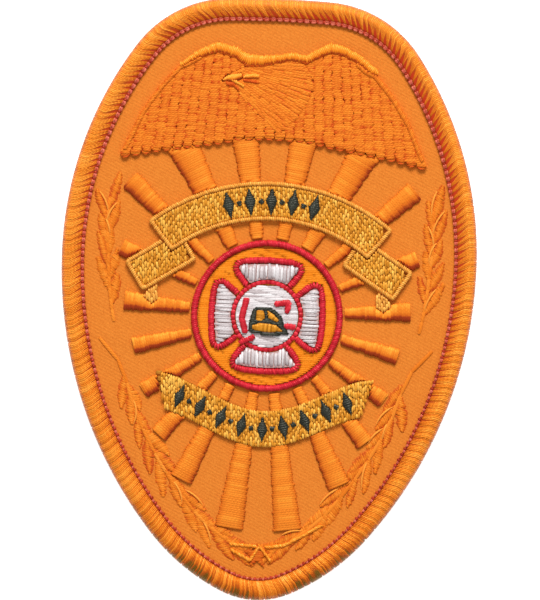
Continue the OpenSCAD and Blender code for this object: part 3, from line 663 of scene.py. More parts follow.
# %% [markdown]
# ## The twill ground
# Twill's ribs run at a slant because each weft thread passes under the next warp thread along. Here
# they fall from the upper left to the lower right, about half a millimetre apart. A bump on a plate
# could draw them, but the cloth lies open between the rays and its ribs catch the light. So the sheet
# is lofted from lines along the ribs, four to a rib, and puckers a little as stitched cloth does. The
# yarns' own floats are finer than that and stay in the material's bump.

# %% The cloth's material
# Cotton twill, dyed in the piece: short fibres stand up all over it and scatter the light, so it is
# matt where rayon shines, and the dye takes a little unevenly.
FLOAT_PITCH = 0.625  # mm between floats, before they are drawn out along the rib
FLOAT_DRAW = (0.9, 2.0, 1)
# Single fibres are too fine to show, so they are drawn as patches a fifth of a millimetre wide.
FUZZ_PER_MM = 5.5
FLOAT_DEPTH = 0.02
RIB_ANGLE = -26

twill, tree = new_material("cotton_twill")
where = add(tree, "ShaderNodeTexCoord").outputs["Object"]
turned = add(
    tree,
    "ShaderNodeMapping",
    {"Rotation": (0, 0, math.radians(-RIB_ANGLE)), "Scale": (1 / MM,) * 3},
    Vector=where,
)
drawn_out = add(tree, "ShaderNodeMapping", {"Scale": FLOAT_DRAW}, Vector=turned.outputs[0])
floats = add(
    tree,
    "ShaderNodeTexVoronoi",
    {"Scale": 1 / FLOAT_PITCH, "Randomness": 0.6},
    Vector=drawn_out.outputs[0],
)
fuzz = add(
    tree,
    "ShaderNodeTexNoise",
    {"Scale": FUZZ_PER_MM, "Detail": 4.0, "Roughness": 0.75},
    Vector=turned.outputs[0],
)
dye = add(tree, "ShaderNodeValToRGB", Fac=fuzz.outputs["Fac"])
dye.color_ramp.elements[0].color = linear("#CC6A1E")
dye.color_ramp.elements[1].color = linear("#EE8E34")
dye.color_ramp.elements[0].position, dye.color_ramp.elements[1].position = 0.3, 0.7
rough_weave = add(
    tree,
    "ShaderNodeBump",
    {"Strength": 0.5, "Distance": FLOAT_DEPTH * MM},
    Height=floats.outputs["Distance"],
)
weave = add(
    tree,
    "ShaderNodeBump",
    {"Strength": 0.5, "Distance": FLOAT_DEPTH * MM},
    Height=fuzz.outputs["Fac"],
    Normal=rough_weave.outputs["Normal"],
)
shader = add(
    tree,
    "ShaderNodeBsdfPrincipled",
    {"Roughness": 0.9, "IOR": 1.5, "Specular IOR Level": 0.15},
    Base_Color=dye.outputs["Color"],
    Normal=weave.outputs["Normal"],
)
add(tree, "ShaderNodeOutputMaterial", Surface=shader.outputs["BSDF"])
print("floats in mm:", [round(FLOAT_PITCH / draw, 2) for draw in FLOAT_DRAW[:2]])

# %% Weaving the ground
RIB_PITCH = 0.47
RIB_DEPTH = 0.035
RIB_WANDER, WANDER_WAVES = 0.2, 0.9  # in mm, and waves per mm
PUCKER, PUCKER_WAVES = 0.05, 0.35
LINES_PER_RIB = 4
ACROSS_LINE = 44

cloth_edges = np.stack([rim, np.roll(rim, -1, axis=0)], axis=1)
rib_way = heading(RIB_ANGLE)
rib_side = np.array((-rib_way[1], rib_way[0]))
spread = rim @ rib_side
line_step = RIB_PITCH / LINES_PER_RIB
line_count = int((spread.max() - spread.min()) / line_step) - 1
upper, lower = [], []
for i in range(line_count):
    off = spread.min() + (i + 1) * line_step
    spans = chords(cloth_edges, rib_side * off, rib_way)
    low, high = spans[0][0], spans[-1][1]
    for k in range(ACROSS_LINE):
        x, y = rib_side * off + rib_way * (low + (high - low) * k / (ACROSS_LINE - 1))
        pucker = noise.noise((x * PUCKER_WAVES, y * PUCKER_WAVES, 1.5)) * PUCKER - PUCKER
        wander = noise.noise((x * WANDER_WAVES, y * WANDER_WAVES, 4.0)) * RIB_WANDER
        crest = (1 - math.cos(2 * math.pi * (off + wander) / RIB_PITCH)) / 2
        upper.append((x, y, cloth_top + pucker - RIB_DEPTH * (1 - crest)))
        lower.append((x, y, cloth_under))
print("lines along the ribs:", line_count, "with", ACROSS_LINE, "points each")

# %% Closing the sheet with an underside and edges
def grid_faces(rows, columns):
    """Quads of a grid of points, row by row."""
    return [
        (r * columns + c, r * columns + c + 1, (r + 1) * columns + c + 1, (r + 1) * columns + c)
        for r in range(rows - 1)
        for c in range(columns - 1)
    ]


top_faces = grid_faces(line_count, ACROSS_LINE)
size = line_count * ACROSS_LINE
low_faces = [tuple(v + size for v in reversed(f)) for f in top_faces]
border_walk = (
    list(range(ACROSS_LINE))
    + [r * ACROSS_LINE + ACROSS_LINE - 1 for r in range(1, line_count)]
    + list(range(size - 2, size - ACROSS_LINE - 1, -1))
    + [r * ACROSS_LINE for r in range(line_count - 2, 0, -1)]
)
side_faces = [(b, a, a + size, b + size) for a, b in zip(border_walk, border_walk[1:] + border_walk[:1])]
mesh = bpy.data.meshes.new("twill_ground")
mesh.from_pydata((np.array(upper + lower) * MM).tolist(), [], top_faces + low_faces + side_faces)
mesh.polygons.foreach_set("use_smooth", [True] * len(mesh.polygons))
twill_ground = finish_piece("twill_ground", mesh, twill, "twill", "ground_twill")

# %% [markdown]
# ## The overlocked border
# An overlock machine wraps the raw edge with bundles of thread. Each bundle leaves one needle hole on
# the inside, spreads as it goes over the edge, and comes back under the cloth. Near the holes dark
# slots stay open between the bundles. They gape most at the upper right and close towards the foot. A
# rope-like bead with a bump would be quicker, but it has neither slots nor a profile of threads, so
# each bundle is four strands that start close together.
#
# A strand's tint changes along its length as light changes it on the real border, and here that light
# and shade is painted: redder shade beside the slots, a golden highlight over the top, a thin line of
# shade under the outer rim, and shade on the outer side at the foot.

# %% The border's section
HOLE_IN = 2.94  # needle holes, in from the badge's edge
ARCH_R = 3.3
ARCH_SHARES = (0.0, 0.12, 0.3, 0.55, 0.8)
UNDER_BEND = 0.8  # a strand lies level under the cloth for this last stretch
STRAND_H = 0.2
border_low, border_top = height_of("merrow_border")
bead_r = (border_top - border_low) / 2


def border_line(inset):
    """Section round the border, from its needle holes over the edge and back under, drawn in."""
    line = []
    for share in ARCH_SHARES:
        x = HOLE_IN + (bead_r - HOLE_IN) * share
        line.append((x, border_top - ARCH_R + math.sqrt((ARCH_R - inset) ** 2 - (x - bead_r) ** 2)))
    for degrees in range(90, -91, -30):
        turn = math.radians(degrees)
        reach = bead_r - inset
        line.append((bead_r - reach * math.cos(turn), bead_r + reach * math.sin(turn)))
    line.append((HOLE_IN - UNDER_BEND, inset))
    line.append((HOLE_IN, inset))
    return line


section = border_line(STRAND_H / 2)
print("border's section:", len(section), "points, bead's radius", round(bead_r, 2), "mm")

# %% How the border changes round the badge
FADE_UP, FADE_RIGHT = 50, 12  # mm over which it changes from foot to top, and from left to right
LEFT_GAP = 0.55
FOOT_BELOW, FOOT_FADE = -28, 12


def clamped(value):
    """A value held between 0 and 1."""
    return min(1.0, max(0.0, value))


def upness(y):
    """Share of the way up the badge."""
    return clamped(0.5 + y / FADE_UP)


def gap_at(run):
    """How far the slots between bundles gape: nothing at the foot, most at the upper right."""
    x, y = at_rim(run, HOLE_IN)[0]
    return upness(y) * (LEFT_GAP + 0.45 * clamped(0.5 + x / FADE_RIGHT))


gaps = [gap_at(run) for run in range(int(rim_length))]
print("slots gape from", round(min(gaps), 2), "to", round(max(gaps), 2))

# %% A strand's widths and tints, from its hole over the edge and back under
# Painted light and shade along a strand, from its hole: redder near the hole, brightest over the top,
# darkest just under the outer rim, lighter again underneath.
SECTION_TINTS = np.array(
    (0.4, 0.44, 0.5, 0.56, 0.62, 0.66, 0.68, 0.66, 0.3, 0.04, 0.1, 0.32, 0.46, 0.5, 0.5)
)
# Painted shade beside gaping slots, a painted highlight on the outer top where slots gape, painted shade on
# the outer side at the foot, and painted highlights on the bundles' heads at the foot.
REDDER_INSIDE = np.array((0.12, 0.12, 0.12, 0.1, 0.06, 0.02) + (0.0,) * 9)
GOLDER_OUTSIDE = np.array((0.0,) * 6 + (0.0, 0.06, 0.0) + (0.0,) * 6)
SHADED_OUTSIDE = np.array((0.0,) * 4 + (0.1, 0.22, 0.36, 0.42, 0.24, 0.05) + (0.0,) * 5)
GOLDEN_HEADS = np.array((0.2, 0.3, 0.34, 0.2) + (0.0,) * 11)
STRAND_WIDTHS = np.array(
    (0.2, 0.22, 0.23, 0.25, 0.28, 0.31, 0.31, 0.31, 0.32, 0.32, 0.32, 0.32, 0.3, 0.26, 0.26)
)
print("a strand has", len(STRAND_WIDTHS), "points")

# %% Wrapping the edge with strands
BUNDLE_PITCH = 1.04
STRANDS = 4
INNER_POINTS = 8  # points of a strand from its hole to the bead's outer shoulder
LEAN_LOW, LEAN_HIGH = 0.5, 1.3  # mm by which a bundle runs ahead, at the foot and at the top
HOLE_WANDER, LEAN_WANDER = 0.04, 0.05
HOLE_SQUEEZE, HOLE_BACK, HOLE_SINK = 0.7, 0.1, 0.02
START_SPREAD = 0.24  # mm between the strands of a bundle at its hole, less where slots gape
SHORTEST_SLOT, SLOT_GROWTH = 0.54, 0.14  # shares of the way from the holes to the bead's top
SAG, OUTER_SAG = 0.07, 0.1
TINT_WANDER, BUNDLE_GLOW = 0.14, 0.05

bundles = int(round(rim_length / BUNDLE_PITCH))
wrap = Pile()
for b in range(bundles):
    home = b * rim_length / bundles + rng.uniform(-HOLE_WANDER, HOLE_WANDER)
    height = at_rim(home, HOLE_IN)[0][1]
    upper = upness(height)
    gap = gap_at(home)
    lean = LEAN_LOW + (LEAN_HIGH - LEAN_LOW) * upper + rng.uniform(-LEAN_WANDER, LEAN_WANDER)
    closed_by = SHORTEST_SLOT + SLOT_GROWTH * gap
    foot = clamped((FOOT_BELOW - height) / FOOT_FADE)
    near = START_SPREAD - 0.15 * gap + 0.03 * foot
    # Painted highlights on the bundles' heads and painted shade on their outer side come and go along the
    # foot, a few bundles at a time.
    head = foot * max(0.0, noise.noise((home * 0.12, 3.0, 0.0)) + 0.5)
    foot_shade = foot * max(0.5, min(1.5, 1.8 * noise.noise((home * 0.16, 8.0, 0.0)) + 1.1))
    spread = 0.95 + 0.05 * upper - 0.08 * foot
    glow = rng.uniform(-BUNDLE_GLOW, BUNDLE_GLOW)
    for s in range(STRANDS):
        beside = s - (STRANDS - 1) / 2
        # A bundle's two outer strands sink, which rounds it like a rope halfway down the badge.
        rounding = max(0.0, abs(beside) - 1) * max(0.0, 1.3 - upper - foot)
        lift = rng.uniform(-SAG, 0.0) - OUTER_SAG * rounding
        start = at_rim(home + beside * near * HOLE_SQUEEZE, HOLE_IN + HOLE_BACK)[0]
        line = [(*start, cloth_top - HOLE_SINK)]
        for k, (x, z) in enumerate(section):
            share = min(1.0, (HOLE_IN - x) / (HOLE_IN - bead_r)) if k < INNER_POINTS - 2 else 1.0
            ease = min(1.0, (share / closed_by)) ** (1.2 + 1.2 * gap)
            apart = near + (spread * BUNDLE_PITCH / STRANDS - near) * ease
            point = at_rim(home + lean * share + beside * apart, x)[0]
            line.append((*point, z + (lift if k < INNER_POINTS else 0)))
        out = at_rim(home + lean / 2, 1)[1]
        # A random tone per strand, with the painted light and shade added over it.
        tints = SECTION_TINTS + glow + rng.uniform(-TINT_WANDER, TINT_WANDER) * (1 + 0.8 * foot)
        tints += GOLDER_OUTSIDE * gap - REDDER_INSIDE * gap - SHADED_OUTSIDE * foot_shade + GOLDEN_HEADS * head
        wrap.lay(line, (-out[1], out[0]), wide=STRAND_WIDTHS, high=STRAND_H, tint=tints)
border_stitches = wrap.build("border_stitches", border_rayon, "border_thread", "merrow_border")

# %% [markdown]
# ## The border's core and chain
# Filler thread lies inside the wrapping and gives the slots their depth and their red. It could be
# more strands, but only its colour is seen, so one smooth ring a little below the strands stands for
# it, red towards the slots and orange elsewhere. Along the holes runs a chain of coral thread, two
# legs to a loop, with the bobbin thread drawn across between the loops. Both are thick enough to be
# laid stitch by stitch.

# %% The core
CORE_INSET, CORE_RISE = 0.18, 0.1
CORE_STEPS = 250
CORE_IN, CORE_UNDER, CORE_OVER = 0.3, 0.05, 0.02
CORE_TINTS = np.array((1.0, 1.0, 0.95, 0.7, 0.3) + (0.0,) * 9 + (1.0, 1.0, 1.0))
core_runs = np.arange(0, rim_length, rim_length / CORE_STEPS)
points = []
for run in core_runs:
    upper = upness(at_rim(run, HOLE_IN)[0][1])
    core = border_line(CORE_INSET - CORE_RISE * upper)
    core.append((HOLE_IN, cloth_under - CORE_UNDER))
    core.append((HOLE_IN + CORE_IN, cloth_under - CORE_UNDER))
    core.append((HOLE_IN + CORE_IN, cloth_top + CORE_OVER))
    points += [(*at_rim(run, x)[0], z) for x, z in core]
n = len(core)
faces = []
for r in range(len(core_runs)):
    after = (r + 1) % len(core_runs)
    for c in range(n):
        d = (c + 1) % n
        faces.append((r * n + c, r * n + d, after * n + d, after * n + c))
mesh = bpy.data.meshes.new("border_core")
mesh.from_pydata((np.array(points) * MM).tolist(), [], faces)
mesh.polygons.foreach_set("use_smooth", [True] * len(faces))
redness = np.concatenate([(0.5 + 0.5 * gap_at(run)) * CORE_TINTS for run in core_runs])
mesh.attributes.new("tint", "FLOAT", "POINT").data.foreach_set("value", redness)
finish_piece("border_core", mesh, core_rayon, "border_thread")

# %% Chain and bobbin thread
CHAIN_IN = 3.24
CHAIN_AHEAD = 1.04  # the chain's loops lie this many bundles further on than the holes
BOBBIN_SHAPE = ((0.0, 0.2), (0.3, 0.36), (0.7, 0.36), (1.0, 0.1))  # shares across, and heights
BOBBIN_IN, BOBBIN_REACH = 0.22, 0.48
chain, bobbin = Pile(), Pile()
for b in range(bundles):
    home = b * rim_length / bundles
    upper = upness(at_rim(home, HOLE_IN)[0][1])
    reach = 0.55 + 0.3 * upper
    for side in (-1, 1):
        line = []
        for share in SHORT_SHARES:
            spread_out = side * (0.08 + 0.11 * upper) * math.sin(math.pi * min(1.0, share * 0.75 + 0.1))
            run = home + (CHAIN_AHEAD + reach * (share - 0.5)) * BUNDLE_PITCH
            point, out = at_rim(run, CHAIN_IN + spread_out)
            rise = 0.0 if share in (0.0, 1.0) else 0.26 + 0.08 * upper
            line.append((*point, cloth_top + 0.02 + rise))
        chain.lay(line, out, wide=0.19 + 0.12 * upper, high=0.24, ends=0.6)
    line = []
    for share, rise in BOBBIN_SHAPE:
        point, out = at_rim(home + 0.5 * BUNDLE_PITCH, CHAIN_IN - BOBBIN_IN + BOBBIN_REACH * share)
        line.append((*point, cloth_top + rise))
    bobbin.lay(line, (-out[1], out[0]), wide=0.44 - 0.14 * upper, high=0.3, ends=0.7)
chain.build("border_chain", chain_rayon, "red_thread")
bobbin.build("border_bobbin_thread", bobbin_rayon, "red_thread")

# %% [markdown]
# ## The sunburst
# Each ray is a satin column that widens outward. Its threads lie straight across it over a loose
# underlay, with ragged ends, on a back that is nearly flat. It rises slowly from its inner tip. A
# bevelled bar with a thread picture would give the shape, but not the ragged sides. The side away
# from the light turns deep red, because thread shadows thread there, and the tint along each stitch
# says so. The parts that pass beneath a scroll or a wing are hidden, and no thread is laid there.

# %% Satin rays
RAY_PITCH = 0.33
RAY_BULGE = 0.15
RAY_SUNK = 0.55  # share of the solid's height that the threads reach
RAY_EASE = 1.6
RAY_SHADE = 2.4
RAY_TINTS = (0.62, 0.84)
UNDER_PITCH, UNDER_INSET = 0.4, 0.1
hub_low, hub_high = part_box("hub_disc")
hub = np.array(((hub_low[0] + hub_high[0]) / 2, (hub_low[1] + hub_high[1]) / 2)) / MM
covers = [
    plan_edges(node)
    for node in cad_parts
    if node.startswith(("scroll_upper", "scroll_tail", "scroll_fold", "scroll_lower", "eagle_wing"))
    and not node.endswith("marks")
]
rays, under_rays = Pile(RAY_TINTS), Pile(RAY_TINTS)
ray_nodes = sorted(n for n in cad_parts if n.startswith("ray_"))
for node in ray_nodes:
    edges = plan_edges(node)
    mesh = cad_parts[node].data
    foot = np.array([v.co[:2] for v in mesh.vertices if v.co.z < cloth_top * MM + 1e-6]) / MM
    spots = np.unique(np.round(foot, 2), axis=0)
    ahead = spots.mean(axis=0) - hub
    ahead /= np.linalg.norm(ahead)
    distances = (edges.reshape(-1, 2) - hub) @ ahead
    start = hub + ahead * distances.min()
    reach = distances.max() - distances.min()
    crown = cloth_top + (height_of(node)[1] - cloth_top) * RAY_SUNK
    # Painted shade also darkens each thread's ends, along the column's edges.
    satin(rays, edges, start, ahead, reach, cloth_top, crown - RAY_BULGE, crown, pitch=RAY_PITCH,
          ragged=0.12, covers=covers, shade=RAY_SHADE, eased=RAY_EASE, wide=0.38, high=0.17, blush=0.5)
    satin(under_rays, edges, start, ahead, reach, cloth_top, crown - RAY_BULGE - UNDER_INSET,
          crown - UNDER_INSET, pitch=UNDER_PITCH, covers=covers, grow=-UNDER_INSET, ragged=0.01,
          shade=RAY_SHADE, eased=RAY_EASE, wide=0.6, high=0.1)
rays.build("ray_satin", ray_rayon, "orange_thread", *ray_nodes)
under_rays.build("ray_underlay", ray_rayon, "orange_thread")

# %% [markdown]
# ## The eagle
# Its wings are fans of narrow feathers. Each is a column of short stitches whose rows wander and break
# up, with a groove beside it and a round tip, and some stitch ends dip where the needle pulled them
# down. Ends are darkened red with painted shade, for the shadow in the grooves. A modelled feather
# would be smoother than any sewn one, so the rows are laid one by one, each tilted by a slow noise.
# Deep orange padding shows between them.

# %% Wings, feather by feather
FEATHERS = 15
ROOT_SHARE = 0.88  # width of the fan at its top, as a share of that at its foot
SUNK = 0.72  # share of the solid's height that the threads reach
FEATHER_PITCH = 0.28
FEATHER_ENDS = 0.14
GROOVE = -0.1  # feathers overlap by this
TIP_GROOVE = 0.16
TIP_LENGTH = 0.6
TIP_SINK = 0.3
ROW_TILT = 0.22
SIDE_WANDER = 0.26
BREAK_UP = 0.5  # widest gap that a broken row leaves beside a feather
# Painted shade at stitch ends: a slow swing about a mean, a least amount, and random steps darker.
DARK_MEAN, DARK_SWING, DARK_LEAST = 0.1, 0.4, 0.05
DIPS = (0.0, 0.03, 0.06, 0.1, 0.14)
DARKER = (0.0, 0.1, 0.2, 0.6)
SHADED_ENDS = ((1, 0.2), (0.2, 1), (1, 1))
SHORTEST_ROW = 0.3
wing_low, wing_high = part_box("eagle_wing_right")
wing_half = wing_high[0] / MM
wing_foot, wing_top = wing_low[1] / MM, wing_high[1] / MM


def feather_side(i, y, side):
    """Distance from the badge's middle to the line between two feathers, which wanders a little."""
    narrow = 1 - (1 - ROOT_SHARE) * (y - wing_foot) / (wing_top - wing_foot)
    wander = SIDE_WANDER * noise.noise((i * 3.1, y * 0.7, side * 2.0)) if 0 < i < FEATHERS else 0.0
    return wing_half * i / FEATHERS * narrow + wander


print("a feather's width at the foot in mm:", round(wing_half / FEATHERS, 2))

# %% Laying the feathers and the ridge along each wing's outer edge
PROBE_STEP = 0.2  # mm between the lines that probe an outline for its edge
RIDGE_FROM, RIDGE_TOP = 1.5, 36.6
RIDGE_W, RIDGE_PITCH = 0.8, 0.27
RIDGE_LEAN = (0, -0.35)
for side, node in ((1, "eagle_wing_right"), (-1, "eagle_wing_left")):
    edges = plan_edges(node, high_up)
    top = cloth_top + (height_of(node)[1] - cloth_top) * SUNK
    feathers = Pile((0.25, 0.7))
    for i in range(FEATHERS):
        tip_x = side * wing_half * (i + 0.5) / FEATHERS
        spans = chords(edges, np.array((tip_x, 0.0)), heading(90))
        tip_y = spans[0][0] if len(spans) else wing_foot
        y = wing_foot - rng.random() * FEATHER_PITCH
        while y < wing_top:
            y += FEATHER_PITCH * rng.uniform(0.8, 1.2)
            broken = BREAK_UP * max(0.0, noise.noise((i * 4.3, y * 0.8, side * 7.0)))
            at_tip = max(0.0, 1 - abs(y - tip_y) / TIP_LENGTH)
            groove = GROOVE + broken + (TIP_GROOVE - GROOVE - broken) * at_tip
            a = feather_side(i, y, side) + groove / 2 + rng.uniform(-FEATHER_ENDS, FEATHER_ENDS)
            b = feather_side(i + 1, y, side) - groove / 2 + rng.uniform(-FEATHER_ENDS, FEATHER_ENDS)
            a, b = sorted((side * a, side * b))
            for low, high in chords(edges, np.array((0.0, y)), heading(0)):
                low, high = max(a, low), min(b, high)
                if high - low > SHORTEST_ROW:
                    slow = noise.noise((i * 2.3, y * 0.4, side * 5.0))
                    tilt = ROW_TILT * slow + rng.uniform(-0.02, 0.02)
                    crown = top - half_thread - TIP_SINK * at_tip + rng.uniform(-0.022, 0.0)
                    ends = (low, y - tilt), (high, y + tilt)
                    line = arched(*ends, crown, crown - 0.02, crown, SHORT_SHARES)
                    for end in (0, -1):
                        x, at, z = line[end]
                        line[end] = (x, at, z - rng.choice(DIPS))
                    # Painted shade: stitch ends darkened red in broken runs, for the shadow in the grooves
                    # between feathers.
                    slow_dark = noise.noise((i * 1.7, y * 0.9, side * 3.0))
                    dark = DARK_MEAN + DARK_SWING * slow_dark + rng.choice(DARKER)
                    blush = np.array(rng.choice(SHADED_ENDS)) * max(DARK_LEAST, dark)
                    feathers.lay(line, heading(90), wide=0.42, high=0.1, ends=0.85, blush=blush)
    ridge = []
    for y in np.arange(wing_foot + RIDGE_FROM, RIDGE_TOP, PROBE_STEP):
        spans = chords(edges, np.array((0.0, y)), heading(0))
        if len(spans):
            ridge.append((spans[-1][1] if side > 0 else spans[0][0], y))
    ridge = even_steps(np.array(ridge), RIDGE_PITCH, closed=False)
    inward = -side * np.abs(normals_of(ridge, ease=3, closed=False)[:, :1]) * (1, 0) + RIDGE_LEAN
    inward /= np.linalg.norm(inward, axis=1, keepdims=True)
    edging(feathers, ridge, inward, RIDGE_W, top - 0.3, top - 0.06, top + 0.1, slant=0.6, wide=0.4,
           high=0.12)
    feathers.build(node + "_feathers", orange_rayon, "orange_thread", node)
padding("wing_padding", padding_rayon, "orange_thread", "eagle_wing_right", "eagle_wing_left", share=0.53)

# %% [markdown]
# ## Head, beak, brow and crest
# The head and neck are one filled shape. Its long threads fan out from a point behind the neck, so
# they turn as they come down, and on the real badge this is what makes a flat shape look like
# plumage. Straight rows would be simpler and would look like a plain patch. Some of their ends are
# darkened with painted shade. The beak, its hook and the brow are bright satin on top, with dark
# stitches under them for shadow. The light line along both wings, the crest, is the highest stitching
# on the badge, and a dark row of painted shade underlines it, where its shadow falls.

# %% The head's fan of threads
FAN_FROM = np.array((-9.4, 35.7))
FAN_RINGS = (1.5, 3.0, 4.5, 6.0, 7.5, 9.0, 10.5, 12.2, 14.2, 17.0)
FAN_START, FAN_END = -70.0, 25
HEAD_PITCH = 0.31
head_edges = plan_edges("eagle_head", high_up)
head_top = cloth_top + (height_of("eagle_head")[1] - cloth_top) * SUNK
head = Pile((0.3, 0.7))
for near, far in zip(FAN_RINGS, FAN_RINGS[1:]):
    step = math.degrees(HEAD_PITCH / far)
    turn = FAN_START
    while turn < FAN_END:
        turn += step * rng.uniform(0.9, 1.1)
        way = heading(turn + rng.uniform(-0.8, 0.8))
        a0, b0 = near - rng.uniform(0.1, 1.4), far + rng.uniform(-0.2, 0.3)
        for low, high in chords(head_edges, FAN_FROM, way):
            high = high + rng.uniform(0.0, 0.5) if high < b0 else b0
            low = max(low, a0)
            if high - low > SHORTEST_ROW:
                crown = head_top - half_thread + rng.uniform(-0.025, 0.0)
                ends = FAN_FROM + way * low, FAN_FROM + way * high
                line = arched(*ends, crown - 0.25, crown - 0.08, crown)
                # Painted shade darkens some stitch ends, for the shadow between the fan's rings.
                head.lay(line, heading(turn + 90), wide=0.42, high=0.1, blush=rng.choice(DARKER))
head.build("eagle_head_fill", orange_rayon, "orange_thread", "eagle_head")
padding("head_padding", padding_rayon, "orange_thread", "eagle_head", share=0.6)

# %% Beak, hook and brow
def main_way(points):
    """A shape's middle, the unit vector along its length, and the distances it spans that way."""
    middle = points.mean(axis=0)
    _, _, ways = np.linalg.svd(points - middle, full_matrices=False)
    reach = (points - middle) @ ways[0]
    return middle, ways[0], reach.min(), reach.max()


def satin_shapes(pile, node, above, foot, side, top, pitch=0.33, **kind):
    """Satin across the length of each separate shape of a node."""
    for loop in plan_loops(plan_edges(node, above)):
        edges = np.stack([loop, np.roll(loop, -1, axis=0)], axis=1)
        middle, way, near, far = main_way(even_steps(loop, WALK_STEP))
        satin(pile, edges, middle + way * near, way, far - near, foot, side, top, pitch, **kind)


HOOK_LINE = ((-6.6, 33.4), (-4.95, 32.55))
HOOK_W = 0.5
BEAK_PITCH = 0.26
BEAK_SHADE = 2.4
BEAK_OVER = 0.3  # height of the beak's threads over the head's
beak = Pile((0.7, 1.0))
beak_top = head_top + BEAK_OVER
satin_shapes(beak, "eagle_beak", high_up, head_top - 0.15, beak_top - 0.25, beak_top - half_thread,
             pitch=BEAK_PITCH, grow=-0.08, shade=BEAK_SHADE, wide=0.32, high=0.16)
hook = even_steps(np.array(HOOK_LINE), BEAK_PITCH, closed=False)
edging(beak, hook, normals_of(hook, closed=False), HOOK_W, head_top - 0.1, head_top, head_top + 0.16,
       wide=0.32, high=0.14)
beak.build("eagle_beak_satin", crest_rayon, "light_gold_thread", "eagle_beak")

brow = Pile((0.7, 1.0))
satin_shapes(brow, "eagle_brow", cloth_top, head_top - 0.15, beak_top - 0.25, beak_top - half_thread,
             pitch=BEAK_PITCH, grow=-0.04, shortest=0.2, shade=BEAK_SHADE, wide=0.32, high=0.16)
brow.build("eagle_brow_satin", crest_rayon, "light_gold_thread", "eagle_brow")

FACE_SHADOWS = (((-7.5, 33.0), (-6.6, 32.9), (-5.8, 32.1)), 0.8), (((-4.9, 33.45), (-2.9, 33.2)), 0.5)
FACE_PITCH = 0.25
shadows = Pile((0.0, 0.12))
for spots, width in FACE_SHADOWS:
    path = even_steps(np.array(spots), FACE_PITCH, closed=False)
    down = -np.abs(normals_of(path, closed=False)) * (0.2, 1)
    edging(shadows, path, down, width, head_top - 0.1, head_top, head_top + 0.08, wide=0.4, high=0.1)
shadows.build("eagle_face_shadows", orange_rayon, "orange_thread")

# %% The crest and the row that underlines it
CREST_SHARE = 0.86
CREST_TINTS = np.array((0, 0, 0, 0.1, 0.6, 0.85, 0.9))  # painted shade, darker towards the wings
CREST_PITCH = 0.26
SHORTEST_CREST = 0.25
UNDERLINE_W, UNDERLINE_PITCH, UNDERLINE_INSET = 0.5, 0.27, 0.4
crest_edges = plan_edges("eagle_crest", high_up)
crest_top = cloth_top + (height_of("eagle_crest")[1] - cloth_top) * CREST_SHARE
crest_low, crest_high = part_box("eagle_crest")
crest = Pile()
spine = []
for x in np.arange(crest_low[0] / MM + 0.05, crest_high[0] / MM, PROBE_STEP):
    spans = chords(crest_edges, np.array((x, 0.0)), heading(90))
    if len(spans):
        spine.append((x, spans.mean()))
spine = even_steps(np.array(spine), CREST_PITCH, closed=False)
for p, n in zip(spine, normals_of(spine, ease=2, closed=False)):
    for low, high in chords(crest_edges, p, n):
        if low < 0 < high and high - low > SHORTEST_CREST:
            low, high = low + rng.uniform(-0.1, 0.1), high + rng.uniform(0.15, 0.45)
            crown = crest_top - half_thread + rng.uniform(-0.05, 0)
            line = arched(p + n * low, p + n * high, crest_top - 0.4, crest_top - 0.32, crown)
            tints = rng.uniform(0.65, 1.0) - CREST_TINTS
            crest.lay(line, (-n[1], n[0]), wide=0.29, high=0.2, tint=tints)
crest.build("eagle_crest_satin", crest_rayon, "light_gold_thread", "eagle_crest")

# Painted shade: a dark row of stitches under the crest, where its shadow falls on the wings.
under_crest = Pile((0.0, 0.15))
below = []
first, last = crest_low[0] / MM + UNDERLINE_INSET, crest_high[0] / MM - UNDERLINE_INSET
for x in np.arange(first, last, PROBE_STEP):
    spans = chords(crest_edges, np.array((x, 0.0)), heading(90))
    if len(spans):
        below.append((x, spans[0, 0] + 0.05))
below = even_steps(np.array(below), UNDERLINE_PITCH, closed=False)
wing_crown = cloth_top + (height_of("eagle_wing_right")[1] - cloth_top) * SUNK
down = -np.abs(normals_of(below, ease=2, closed=False)) * (0.2, 1)
edging(under_crest, below, down, UNDERLINE_W, wing_crown - 0.05, wing_crown, wing_crown + 0.04, slant=0.1,
       wide=0.36, high=0.12)
under_crest.build("eagle_crest_underline", orange_rayon, "orange_thread")

# %% [markdown]
# ## The scrolls
# Their fill is short upright stitches in staggered rows, which looks almost knitted. The needle holes
# between the stitches stay dark, because the satin underlay below them is brown: painted shade for the
# holes. A woven picture would repeat itself, so the rows are laid as brick fill with uneven lengths,
# over satin that lies level.
# The patches of folded cloth below the tails are filled the same way in paler thread.

# %% Underlay and fill
FILL_PITCH = 0.36
FILL_STITCH = 1.12
FILL_TURN = 4  # degrees by which the fill's rows stray from upright
FILL_RANDOM = {"offsets": 2, "lean": 0.1, "uneven": 0.16, "rough": 0.05}
UNDERLAY_PITCH = 0.45
underlay, fill = Pile(), Pile()
fill_nodes = ["scroll_upper", "scroll_tail_right", "scroll_tail_left", "scroll_lower"]
for node in fill_nodes:
    edges = plan_edges(node, raised)
    low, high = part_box(node)
    left, right, down, up = low[0] / MM, high[0] / MM, low[1] / MM, high[1] / MM
    top = height_of(node)[1]
    satin(underlay, edges, np.array((0.0, down)), heading(90), up - down, cloth_top, cloth_top + 0.3,
          cloth_top + 0.36, UNDERLAY_PITCH, wide=0.5)
    brick_fill(fill, edges, np.array((left, 0.0)), heading(FILL_TURN), right - left, top - 0.24,
               top - half_thread, FILL_PITCH, FILL_STITCH, wide=0.33, high=0.2, ends=0.5, **FILL_RANDOM)
fill.build("scroll_fill", gold_rayon, "gold_thread", *fill_nodes)
# Painted shade: the brown underlay keeps the needle holes dark.
underlay.build("scroll_underlay", underlay_rayon, "gold_thread")

